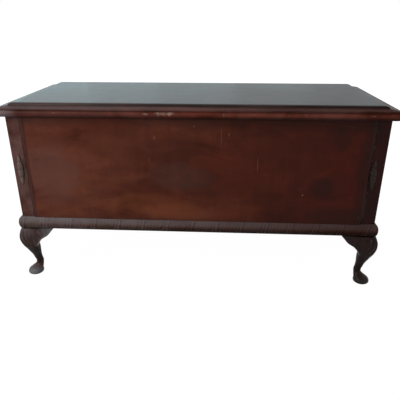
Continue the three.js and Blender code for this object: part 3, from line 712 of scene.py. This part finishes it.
def mouldingRelief(length, level, seed):
    m = mouldingSettings
    slanted = length - m["lean"] * level - m["shift"]
    cell = slanted / m["unit"]
    place = np.abs(cell - np.round(cell)) * m["unit"]
    hand = 1 + 0.25 * waver(length, seed)
    fade = softFall(np.abs(level), 0.82, 0.99)
    reel = np.cos(np.clip((place - m["reelGap"] / 2) / m["reelWidth"], -1, 1) * math.pi / 2) ** 2
    along = np.clip((place - m["leafEnd"]) / (m["unit"] / 2 - m["leafEnd"]), 0, 1)
    outline = 0.3 + 0.52 * np.sin(math.pi / 2 * along) ** 0.7
    leaf = softStep(outline - np.abs(level), 0, 0.16) * softStep(along, 0.0, 0.08)
    flute = wave(slanted / m["flutePitch"])
    vein = hump(level, 0.07)
    carved = m["leafHeight"] + m["fluteDepth"] * (flute - 0.5) * 2 - m["veinDepth"] * vein * along
    height = (reel * m["reelHeight"] * fade + leaf * carved) * hand
    wear = np.clip(reel * fade * 0.95 + leaf * flute ** 3 * 0.4 * hand, 0, 1)
    ground = (1 - leaf) * (1 - reel) * softFall(np.abs(level), 0.75, 0.95)
    # painted shade on the round's lower half, stronger towards the right end
    below = softStep(-level, -0.05, 0.4) * (0.4 + 0.5 * softStep(length, -0.55, 0))
    # a painted shadow beside each reel
    beside = hump(place - m["paintedShadowAt"], m["paintedShadowWidth"]) * fade
    grime = 0.25 * ground + leaf * (1 - flute) ** 2 * 0.3 + below * (1 - 0.6 * reel) + 0.4 * beside
    return height, wear, np.clip(grime, 0, 1)


def addMoulding(name, side, finish):
    m = mouldingSettings
    low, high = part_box(name)
    profile = mouldingProfile(*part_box("base_moulding_front"))
    size = high.x - low.x if side == 0 else high.y - low.y
    grid, normals, length = runPoints(profile, side, round(size / m["pitch"]))
    face = profile[None, :, 2]
    level = profile[None, :, 3] + 0 * length
    height, wear, grime = mouldingRelief(length, level, 1.0 + side)
    if side == 0:
        edge = np.abs(grid[:, :, 0]).max() - np.abs(grid[:, :, 0])
    else:
        edge = grid[:, :, 1] - low.y
    height = face * (height * softStep(edge, *m["mitreFade"]) - m["sunk"])
    grid = grid + normals * height[:, :, None]
    grime = np.clip(face * (grime + 0.5 * softStep(level, 0.8, 1.0)), 0, 1)
    # painted sheen: the upper half of the round and its left end greyed as by the window's reflection
    sheen = face * (0.26 * softStep(level, -0.2, 0.4) + 0.12 * softFall(length, -0.6, -0.1))
    shape = loft(grid, {"wear": wear * face, "grime": grime, "sheen": sheen})
    addPiece(name + "_carved", shape, finish, [name], crease=50)


# Lid rim: a sloping ledge over a shallow cove and a bead, with the knocks of long use

rimSettings = {
    "beadHeight": 24 * mm, "quirk": 4 * mm, "coveRadius": 3.2 * mm, "lip": 0.5 * mm, "ledgeFall": 3.5 * mm,
    "fieldInset": 30 * mm, "edge": 2 * mm, "beadSteps": 18, "coveSteps": 5, "edgeSteps": 6, "ledgeSteps": 6,
    "pitch": 9 * mm, "ledgeZone": (8 * mm, 9.5 * mm),
    "knocks": (  # place, width and depth in mm
        (-140, 24, 0.05), (-106, 10, 0.8), (-89, 7, 0.5), (-72, 9, 0.4), (92, 5, 0.6), (330, 4, 0.4),
    ),
}


def rimProfile():  # its marks: wear, which also paints the bead's highlight, and dirt with painted shade
    r = rimSettings
    low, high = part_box("lid_rim_front")
    reach, inner = caseFront - low.y, caseFront - high.y
    radius = r["beadHeight"] / 2
    middle = low.z + radius
    beadEnd = math.acos(1 - r["quirk"] / radius)
    rows = [(inner, low.z, 0, 0)]
    for angle in np.linspace(-math.pi / 2, beadEnd, r["beadSteps"]):
        # the bead's upper side is lighter, as wear and a painted highlight; its lower half is darker, as
        # painted shade
        wear, grime = max(0, math.cos(angle - 0.35)) ** 3, max(0, math.sin(-angle - 0.05)) ** 0.5
        out, up = radius * math.cos(angle), radius * math.sin(angle)
        rows.append((reach - radius + out, middle + up, wear, grime))
    coveOut = reach - r["quirk"] + r["coveRadius"]
    coveLow = middle + radius * math.sin(beadEnd)
    for angle in np.linspace(math.pi, math.pi / 2, r["coveSteps"])[1:]:
        out, up = r["coveRadius"] * math.cos(angle), r["coveRadius"] * math.sin(angle)
        rows.append((coveOut + out, coveLow + up, 0, 0.1))
    rows.append((reach, coveLow + r["coveRadius"] + r["lip"], 0.3, 0.1))
    ledge = high.z - r["ledgeFall"]
    for angle in np.linspace(0, math.pi / 2, r["edgeSteps"]):
        out, up = r["edge"] * (math.cos(angle) - 1), r["edge"] * (math.sin(angle) - 1)
        rows.append((reach + out, ledge + up, 0.5, 0))
    start, end = reach - r["edge"], reach - r["fieldInset"]
    for share in np.linspace(0, 1, r["ledgeSteps"])[1:]:
        rise = (high.z - ledge) * share
        rows.append((start + (end - start) * share, ledge + rise, 0, 0.1 + 0.8 * share ** 5))
    rows += [(end, middle + radius, 0, 1), (inner, middle + radius, 0, 0)]
    return np.array(rows)


def addRim(name, side, finish):
    r = rimSettings
    profile = rimProfile()
    low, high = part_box(name)
    size = high.x - low.x if side == 0 else high.y - low.y
    grid, normals, length = runPoints(profile, side, round(size / r["pitch"]))
    wear = np.repeat(profile[None, :, 2], len(grid), 0) * (0.5 + 0.3 * waver(length, 3.0 + side))
    grime = np.repeat(profile[None, :, 3], len(grid), 0)
    sheen = np.zeros_like(length)
    if side == 0:
        depth = np.zeros_like(length)
        for place, width, amount in r["knocks"]:
            knock = hump(length - place * mm, width * mm) * profile[None, :, 2]
            depth = depth + knock * amount * mm
            wear = wear + knock * (0.3 + amount)
        grid = grid - normals * depth[:, :, None]
        onLedge = softFall(high.z - profile[None, :, 1], *r["ledgeZone"])
        right = softStep(length, -0.3, 0.5)
        # painted shade: the ledge darkens towards the right, the bead's shaded lower half less so at the lit
        # left end, and the right end darkens overall
        grime = grime * (0.3 + 0.7 * softStep(length, -0.6, 0.2)) + onLedge * (0.3 + 0.7 * right)
        grime = grime + 0.22 * softStep(length, 0.1, 0.4)
        # painted sheen on the ledge's left half and on the rim's left end
        sheen = 0.12 * onLedge * (1 - right) + 0.4 * softFall(length, -0.6, -0.54) * (1 - onLedge)
    marks = {"wear": np.clip(wear, 0, 1), "grime": np.clip(grime, 0, 1), "sheen": sheen}
    addPiece(name + "_moulded", loft(grid, marks), finish, [name], crease=38)


# Lid field: a raised board with a rounded nose on the front and both ends

fieldSettings = {
    "nose": (14 * mm, 6 * mm), "noseSteps": 11, "pitch": 45 * mm, "bands": (17 * mm, 22 * mm),
    "noseBandAt": 2.2 * mm, "noseBandWidth": 3 * mm,
}


def addLidField():
    f = fieldSettings
    low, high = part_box("lid_field")
    nose, fall = f["nose"]
    near = [nose * (1 - math.cos(a)) for a in np.linspace(0, math.pi / 2, f["noseSteps"])]
    near = np.array(near + list(f["bands"]))
    pitch = f["pitch"]
    middleX = np.linspace(low.x + near[-1], high.x - near[-1], round((high.x - low.x) / pitch))
    middleY = np.linspace(low.y + near[-1], high.y, round((high.y - low.y) / pitch))
    xs = np.unique(np.concatenate([low.x + near, middleX, high.x - near]).round(7))
    ys = np.unique(np.concatenate([low.y + near, middleY]).round(7))
    gx, gy = np.meshgrid(xs, ys, indexing="ij")
    inset = np.minimum(np.minimum(gx - xs[0], xs[-1] - gx), gy - ys[0])
    gz = high.z - fall + fall * np.sqrt(np.maximum(1 - np.maximum(1 - inset / nose, 0) ** 2, 0))
    rows, columns = gx.shape
    points = np.stack([gx, gy, gz], 2).reshape(-1, 3)
    faces = []
    for r in range(rows - 1):
        for c in range(columns - 1):
            here, beyond = r * columns + c, (r + 1) * columns + c
            faces.append((here, beyond, beyond + 1, here + 1))
    edge = [r * columns for r in range(rows)]
    edge += [(rows - 1) * columns + c for c in range(1, columns)]
    edge += [r * columns + columns - 1 for r in range(rows - 2, -1, -1)]
    edge += [c for c in range(columns - 2, 0, -1)]
    foot = points[edge].copy()
    foot[:, 2] = low.z
    start = len(points)
    for i in range(len(edge)):
        j = (i + 1) % len(edge)
        faces.append((edge[i], edge[j], start + j, start + i))
    faces.append(tuple(range(start, start + len(edge))))
    # a band along the nose, worn lighter on the left and darkened as painted shade on the right; the field's
    # sides below the nose are fully darkened
    onNose = hump(inset - f["noseBandAt"], f["noseBandWidth"]).ravel()
    right = softStep(gx, -0.2, 0.45).ravel()
    wear = np.concatenate([onNose * 0.7 * (1 - right), np.zeros(len(edge))])
    grime = np.concatenate([onNose * 0.7 * right, np.ones(len(edge))])
    shape = np.concatenate([points, foot]), faces, {"wear": wear, "grime": grime}
    addPiece("lid_field_board", shape, "lid", ["lid_field"], crease=50)


# Cabriole legs: each section is (height, width, inset from the case's corner) in mm, and roundness

legSettings = {
    "sections": (
        (0, 38, 10.8, 1), (3.5, 49.5, 10.8, 1), (10, 53, 10.8, 1), (18.5, 48, 12.4, 1), (26, 37, 18, 1),
        (34.1, 26.7, 23, 1), (44, 25, 24.4, 1), (59.6, 25.9, 21.9, 0.94), (74.2, 29.1, 19.7, 0.89),
        (87.7, 35.5, 17.3, 0.84), (104.3, 42.6, 14.3, 0.78), (117.8, 47.3, 10.9, 0.73),
        (132.4, 51.7, 8.6, 0.68), (148, 54.3, 7.5, 0.62), (159.5, 53.4, 7.9, 0.55), (172.8, 49.7, 9.5, 0.48),
        (186.2, 45, 11.5, 0.4),
    ),
    "around": 112, "lowStep": 2.2 * mm, "carvedStep": 1.1 * mm, "carvedFrom": 78 * mm,
    "soleRows": (0, 0.8 * mm, 1.8 * mm), "soleEnd": 2 * mm, "leafTop": 182 * mm, "leafLength": 94 * mm,
    "leafWidth": 31 * mm, "leafEdge": 0.1 * mm, "leafHeight": 0.9 * mm, "lobePitch": 14 * mm,
    "lobeLean": 0.37, "lobeHeight": 2.2 * mm, "ribWidth": 2.2 * mm, "ribHeight": 0.9 * mm,
    "sole": (0.5 * mm, 4 * mm), "toe": (12 * mm, 34 * mm), "shinStart": (30 * mm, 48 * mm),
    "shinEnd": (95 * mm, 150 * mm), "knee": (135 * mm, 165 * mm),
}


def legLeaf(across, height):  # acanthus leaf hanging on the knee's outward corner
    g = legSettings
    fall = g["leafTop"] - height
    down = fall / g["leafLength"]
    inside = softStep(down, -0.02, 0.05) * softFall(down, 0.94, 1.0)
    phase = (np.abs(across) - fall * g["lobeLean"]) / g["lobePitch"]
    taper = np.clip(1 - down, 0, 1) ** 0.7 * (0.8 + 0.4 * np.clip(down * 3, 0, 1))
    half = g["leafWidth"] * taper * (1 + 0.16 * np.cos(2 * math.pi * (phase - 0.1))) + g["leafEdge"]
    side = np.abs(across) / half
    mask = softStep(1 - side, 0, 0.16) * inside
    lobe = wave(phase) ** 1.2
    rib = hump(across, g["ribWidth"])
    height = mask * (g["leafHeight"] + g["lobeHeight"] * (lobe - 0.5) * softStep(side, 0.05, 0.3))
    height = (height + mask * g["ribHeight"] * rib) * (1 - 0.8 * softStep(down, 0.45, 1))
    wear = mask * np.clip(lobe ** 2 * softStep(side, 0.05, 0.3) + rib * 0.8, 0, 1)
    edge = softStep(side, 0.9, 1.02) * softFall(side, 1.05, 1.3) * inside
    grime = np.clip(edge * 0.7 + mask * (1 - lobe) ** 3 * 0.8, 0, 1)
    return height, wear, grime


legRows = np.array(legSettings["sections"]) * (mm, mm, mm, 1)


def legSection(heights):  # half width, inset from the corner and power of the section's curve
    width, inset, soft = (smoothRun(legRows[:, 0], legRows[:, k], heights) for k in (1, 2, 3))
    power = 1 / (0.5 - np.log2(1 + (math.sqrt(2) - 1) * (1 - np.clip(soft, 0, 1))))
    return width / 2, inset, power


def addLeg(corner, sideX, sideY):
    g = legSettings
    node = "leg_" + corner
    top = legRows[-1, 0]
    lower = np.linspace(0, g["carvedFrom"], round(g["carvedFrom"] / g["lowStep"]))
    lower = np.concatenate([g["soleRows"], lower[lower > g["soleEnd"]]])
    upper = np.linspace(g["carvedFrom"], top, round((top - g["carvedFrom"]) / g["carvedStep"]))[1:]
    heights = np.concatenate([lower, upper])
    half, inset, power = legSection(heights)
    power = power[:, None]
    turn = np.linspace(0, 2 * math.pi, g["around"], endpoint=False)[None, :]
    cos, sin = np.cos(turn), np.sin(turn)
    radius = half[:, None] / (np.abs(cos) ** power + np.abs(sin) ** power) ** (1 / power)
    grid = np.zeros((len(heights), g["around"], 3))
    grid[:, :, 0] = caseRight - inset[:, None] + radius * cos
    grid[:, :, 1] = caseBack - inset[:, None] + radius * sin
    grid[:, :, 2] = heights[:, None]
    normals = ringNormals(grid)
    outward = np.stack([cos + 0 * radius, sin + 0 * radius, 0 * radius], 2)
    normals *= np.sign((normals * outward).sum(2, keepdims=True) + tiny)
    across = ((turn - math.pi / 4 + math.pi) % (2 * math.pi) - math.pi) * half[:, None]
    height, wear, grime = legLeaf(across, heights[:, None] + 0 * across)
    grid = grid + normals * height[:, :, None]
    grid[:, :, 0] *= sideX
    grid[:, :, 1] *= sideY
    grid[:, :, 2] = np.clip(grid[:, :, 2], 0, top)
    heights = heights[:, None]
    # darker at the sole; the shin under the knee is darkened as painted shade; painted sheen on the toe and
    # the top of the knee
    sole, toe = softFall(heights, *g["sole"]), softFall(heights, *g["toe"])
    shin = softStep(heights, *g["shinStart"]) * softFall(heights, *g["shinEnd"])
    grime = np.minimum(np.maximum(grime * 0.7, sole) + 0.95 * shin, 1)
    sheen = np.maximum(0.42 * toe, 0.06 * softStep(heights, *g["knee"])) + 0 * grime
    marks = {"wear": np.maximum(wear, toe * 0.4), "grime": grime, "sheen": sheen}
    addPiece(node + "_carved", loft(grid, marks), "leg", [node], crease=60)


# Wings beside the knees: rows of shares of the reach and of the drop, from the leg out to the tip

wingSettings = {
    "rows": (
        (-0.2, 1.3), (0, 1.14), (0.07, 0.98), (0.14, 0.87), (0.22, 0.77), (0.32, 0.665), (0.47, 0.565),
        (0.61, 0.48), (0.71, 0.39), (0.85, 0.22), (1, 0.04),
    ),
    "stations": 56, "faceSteps": 30, "edgeSteps": 6, "rootProud": 12 * mm, "tipProud": 4 * mm,
    "depth": 26 * mm, "edgeRound": 5 * mm, "rootRound": 8 * mm, "hidden": 10 * mm, "meetsKnee": 28.5 * mm,
    "easedBy": 47 * mm, "sunk": 1.5 * mm, "sunkOver": 4 * mm, "beadAt": 4 * mm, "beadHeight": 1.2 * mm,
    "beadWidth": 3.2 * mm, "veinHeight": 1.6 * mm, "veinPitch": 13 * mm, "veinLean": 0.37,
    "fieldEdge": (7 * mm, 11 * mm), "fieldTop": (3 * mm, 9 * mm), "paintedShadeAtTop": 7 * mm, "sheenFrom": 8 * mm,
}


def kneeOut(inward, levels):  # how far the knee stands out from the case at a distance from its corner
    half, inset, power = legSection(levels)
    share = np.clip(np.abs(inward - inset) / half, 0, 0.995)
    return half * (1 - share ** power) ** (1 / power) - inset


def addWing(node, sideX, sideY, onFace):
    w = wingSettings
    low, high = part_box(node)
    reach = high.x - low.x if onFace else high.y - low.y
    tip = caseRight - min(abs(low.x), abs(high.x)) if onFace else -caseFront - min(abs(low.y), abs(high.y))
    root = tip - reach
    shares = np.array(w["rows"])
    rings, wears, dirtAndPaintedShadeRows = [], [], []
    for inward in np.linspace(root - w["hidden"], tip, w["stations"]):
        a = (inward - root) / reach
        fall = smoothRun(shares[:, 0], shares[:, 1], np.array([a]))[0] * (high.z - low.z)
        face = w["rootProud"] + (w["tipProud"] - w["rootProud"]) * max(a, 0)
        bottom = high.z - fall
        nearKnee = softFall(inward, w["meetsKnee"], w["easedBy"])
        bend = min(w["edgeRound"] + w["rootRound"] * nearKnee, fall / 2)
        ring = [(face - w["depth"], high.z)]
        ring += [(face - w["depth"] * share, bottom) for share in (1, 0.75, 0.5)]
        for angle in np.linspace(-math.pi / 2, 0, w["edgeSteps"]):
            ring.append((face - bend + bend * math.cos(angle), bottom + bend + bend * math.sin(angle)))
        ring += [(face, level) for level in np.linspace(bottom + bend, high.z, w["faceSteps"])[1:]]
        ring = np.array(ring)
        fromEdge, fromTop = ring[:, 1] - bottom, high.z - ring[:, 1]
        onFront = softStep(ring[:, 0], face - bend * 0.9, face - bend * 0.2)
        knee = kneeOut(min(inward, w["meetsKnee"]), np.clip(ring[:, 1], legRows[0, 0], legRows[-1, 0]))
        knee = knee - w["sunk"] * softFall(inward, w["meetsKnee"] - w["sunkOver"], w["meetsKnee"])
        ring[:, 0] += (knee - face) * nearKnee * onFront
        vein = wave((inward + fromEdge * w["veinLean"]) / w["veinPitch"]) ** 1.2
        bead = hump(fromEdge - w["beadAt"], w["beadWidth"]) * (1 - nearKnee)
        field = softStep(fromEdge, *w["fieldEdge"]) * softFall(a, 0.55, 0.8) * softStep(a, -0.05, 0.15)
        field = field * softStep(fromTop, *w["fieldTop"])
        lift = onFront * (bead * w["beadHeight"] + field * w["veinHeight"] * (vein - 0.5))
        lift = lift * softStep(a, -0.02, 0.08) * (1 - 0.6 * softStep(a, 0.8, 1))
        rings.append([(inward, out + up, level) for (out, level), up in zip(ring, lift)])
        # dirt in the vein hollows, and painted shade along the wing's top under the moulding
        paintedShadeAndDirt = field * (1 - vein) ** 2 * 0.7 + softFall(fromTop, 0, w["paintedShadeAtTop"])
        wears.append(onFront * np.clip(bead * 0.8 + field * vein ** 2 * 0.8, 0, 1))
        dirtAndPaintedShadeRows.append(onFront * np.clip(paintedShadeAndDirt, 0, 1))
    inward, outward, level = np.moveaxis(np.array(rings), 2, 0)
    if onFace:
        placed = np.stack([sideX * (caseRight - inward), caseFront - outward, level], 2)
    else:
        placed = np.stack([sideX * (caseRight + outward), sideY * (-caseFront - inward), level], 2)
    # painted sheen, growing towards the wing's tip
    sheen = 0.04 + 0.3 * softStep(inward, root + w["sheenFrom"], tip)
    marks = {"wear": np.array(wears), "grime": 0.7 * np.array(dirtAndPaintedShadeRows), "sheen": sheen}
    addPiece(node + "_carved", loft(placed, marks), "leg", [node], crease=50)


# Carved drops on the stiles: a string of overlapping husks that swells at its middle

dropSettings = {
    "outline": (  # shares of the length, from the top, and of the width
        (0, 0.1), (0.05, 0.34), (0.2, 0.56), (0.34, 0.84), (0.46, 1), (0.6, 0.96), (0.74, 0.74),
        (0.88, 0.48), (0.96, 0.3), (1, 0.08),
    ),
    "husks": 4, "notch": 0.12, "notchWidth": 0.13, "rows": 132, "across": 25, "base": 0.3,
    "clear": 1.4 * mm, "least": 0.5 * mm, "ribWidth": 0.13, "ribHeight": 0.6 * mm, "fluteHeight": 0.6 * mm,
}


def addDrop(node):
    d = dropSettings
    low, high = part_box(node)
    middle = (low.x + high.x) / 2
    outline = np.array(d["outline"])
    rings, wears, dirtAndPaintedShadeRows = [], [], []
    spread = np.linspace(-1, 1, d["across"])
    for down in np.linspace(0, 1, d["rows"]):
        width = smoothRun(outline[:, 0], outline[:, 1], np.array([down]))[0]
        share = (down * d["husks"]) % 1
        notch = hump(min(share, 1 - share), d["notchWidth"]) * softStep(down, 0.08, 0.2)
        notch = notch * softFall(down, 0.8, 0.92)
        half = width * (1 - d["notch"] * notch) * (high.x - low.x) / 2
        swell = (0.35 + 0.65 * width) * (1 - 0.35 * notch)
        flute = wave(np.abs(spread) * 1.5 - share)
        rib = hump(spread, d["ribWidth"])
        body = d["base"] + (1 - d["base"]) * np.sqrt(1 - (spread * 0.98) ** 2)
        relief = d["fluteHeight"] * (flute - 0.5) + d["ribHeight"] * rib
        thick = np.maximum(((high.y - low.y - d["clear"]) * body + relief) * swell, d["least"])
        z = high.z - down * (high.z - low.z)
        ring = [(middle + u * half, high.y - t, z) for u, t in zip(spread, thick)]
        ring += [(middle + half, high.y, z), (middle - half, high.y, z)]
        rings.append(ring)
        wears.append(list(np.clip(flute * 0.6 + rib * 0.6, 0, 1) * (1 - notch)) + [0, 0])
        paintedShadeAndDirt = notch * 0.5 + (1 - flute) ** 2 * 0.3 + (np.abs(spread) > 0.94) * 0.6
        dirtAndPaintedShadeRows.append(list(np.clip(paintedShadeAndDirt, 0, 1)) + [1, 1])
    shape = loft(rings, {"wear": wears, "grime": dirtAndPaintedShadeRows})
    addPiece(node + "_relief", shape, "drop", [node], crease=55)


addFrontPanel()
for sideName in ("left", "right"):
    addBoard("stile_" + sideName, "stile")
    addBoard("side_panel_" + sideName, "side")
    addDrop("carved_drop_" + sideName)
print("case made")

for sideName, side in (("front", 0), ("left", -1), ("right", 1)):
    addMoulding("base_moulding_" + sideName, side, "mouldingSide" if side else "moulding")
for sideName, sideX in (("left", -1), ("right", 1)):
    for endName, sideY in (("front", -1), ("back", 1)):
        addLeg(endName + "_" + sideName, sideX, sideY)
        addWing("wing_" + endName + "_" + sideName + "_side", sideX, sideY, False)
        block = "corner_block_" + endName + "_" + sideName
        addRefined(block, "plain", refineSettings["blockBevel"])
    addWing("wing_front_" + sideName + "_face", sideX, -1, True)
addBoard("base_rail_back", "plain")
print("base and legs carved")

for sideName, side in (("front", 0), ("left", -1), ("right", 1)):
    addRim("lid_rim_" + sideName, side, "rimSide" if side else "rim")
addLidField()
addPlanks("lid_lining", 5, 1, "cedar")
addRefined("lid_rail_back", "rim", 0)
print("lid made")

for node in ("lining_front", "lining_back"):
    addPlanks(node, 4, 2, "cedar")
for node in ("lining_left", "lining_right"):
    addPlanks(node, 4, 2, "cedarSide")
for i in (1, 2, 3):
    addBoard("floor_board_%d" % i, "cedar")
addRefined("back_panel", "plain", 0)
print("inside lined")

for sideName in ("left", "right"):
    for leaf in ("_case_leaf", "_lid_leaf"):
        addRefined("hinge_" + sideName + leaf, "brass", refineSettings["hingeBevel"])
for node in ("stay_case_bracket", "stay_lid_bracket", "stay_lower_arm", "stay_upper_arm"):
    addRefined(node, "brass", refineSettings["stayBevel"])
for node, kept in frame["nodes"].items():
    if node.endswith("_pin") or "_screw_" in node:
        kept.material_slots[0].material = finishes["steel"]
print("brass and steel fitted")


# Floor and light

lightSettings = {
    "ambient": 0.24,
    "lamps": {
        "key": {"place": (-1.5, -1.5, 1.55), "aim": (-0.2, -0.2, 0.35), "size": (1.3, 1.3), "power": 32,
                "colour": (1, 0.97, 0.94)},
        "fill": {"place": (2.6, -2.4, 1.6), "aim": (0.1, 0, 0.3), "size": (1.6, 1.6), "power": 5,
                 "colour": (1, 1, 1)},
    },
    "skyPowers": (4.8, 4.1, 3.0, 2.2, 1.4, 0.8),  # from the left: a row of lamps that the lid mirrors
    "skyStart": -2.25, "skyPitch": 0.7,
    "sky": {
        "away": 2.5, "height": 1.15, "aim": (-0.3, 0, 0.6), "size": (0.7, 1.1), "colour": (0.55, 0.9, 1),
    },
    "floorTone": 0.38, "floorGlow": 1.12, "glowNear": 0.88, "glowFade": (0.7, 1.5), "floorReach": 30,
}


def makeLamp(name, look):
    lamp = bpy.data.lights.new(name, "AREA")
    lamp.shape = "RECTANGLE"
    lamp.size, lamp.size_y = look["size"]
    lamp.energy = look["power"]
    lamp.color = look["colour"]
    holder = bpy.data.objects.new(name, lamp)
    holder.location = look["place"]
    aim = np.array(look["aim"]) - np.array(look["place"])
    flat = math.hypot(aim[0], aim[1])
    holder.rotation_euler = (math.atan2(flat, -aim[2]), 0, math.atan2(-aim[0], aim[1]))
    bpy.context.scene.collection.objects.link(holder)


def seenShare(s):  # 1 where the backdrop is seen, straight or in a mirror, and 0 where it lights
    kinds = ("Camera", "Glossy", "Transmission")
    camera, glossy, through = (s.node("ShaderNodeLightPath", output="Is %s Ray" % kind) for kind in kinds)
    return (camera + glossy + through).clip()


def makeWorld():
    world = bpy.data.worlds.new("studio")
    bpy.context.scene.world = world
    s = Sheet(world)
    strength = lightSettings["ambient"] + (1 - lightSettings["ambient"]) * seenShare(s)
    glow = s.node("ShaderNodeBackground", inputs={"Color": (1, 1, 1, 1), "Strength": strength})
    s.node("ShaderNodeOutputWorld", inputs={"Surface": glow})


def makeFloor():
    material = bpy.data.materials.new("paleFloor")
    s = Sheet(material)
    x, y, z = s.axes(s.node("ShaderNodeTexCoord", output="Object"))
    away = ((x * x + y * y) ** 0.5).step(*lightSettings["glowFade"])
    near, grey, glow = (lightSettings[key] for key in ("glowNear", "floorTone", "floorGlow"))
    matt = s.node("ShaderNodeBsdfDiffuse", inputs={"Color": [grey] * 3 + [1]})
    bright = s.node("ShaderNodeEmission", inputs={"Color": (1, 1, 1, 1), "Strength": glow})
    share = seenShare(s) * (near + (1 - near) * away)
    both = s.node("ShaderNodeMixShader", inputs={0: share, 1: matt, 2: bright})
    s.node("ShaderNodeOutputMaterial", inputs={"Surface": both})
    reach = lightSettings["floorReach"]
    corners = [(-reach, -reach, 0), (reach, -reach, 0), (reach, reach, 0), (-reach, reach, 0)]
    mesh = bpy.data.meshes.new("floor")
    mesh.from_pydata(corners, [], [(0, 1, 2, 3)])
    mesh.materials.append(material)
    floor = bpy.data.objects.new("floor", mesh)
    bpy.context.scene.collection.objects.link(floor)


for lampName, look in lightSettings["lamps"].items():
    makeLamp(lampName, look)
for i, power in enumerate(lightSettings["skyPowers"]):
    sky = lightSettings["sky"]
    place = (lightSettings["skyStart"] + i * lightSettings["skyPitch"], sky["away"], sky["height"])
    makeLamp("sky_%d" % i, {**sky, "place": place, "power": power})
makeWorld()
makeFloor()
print("floor and light set")
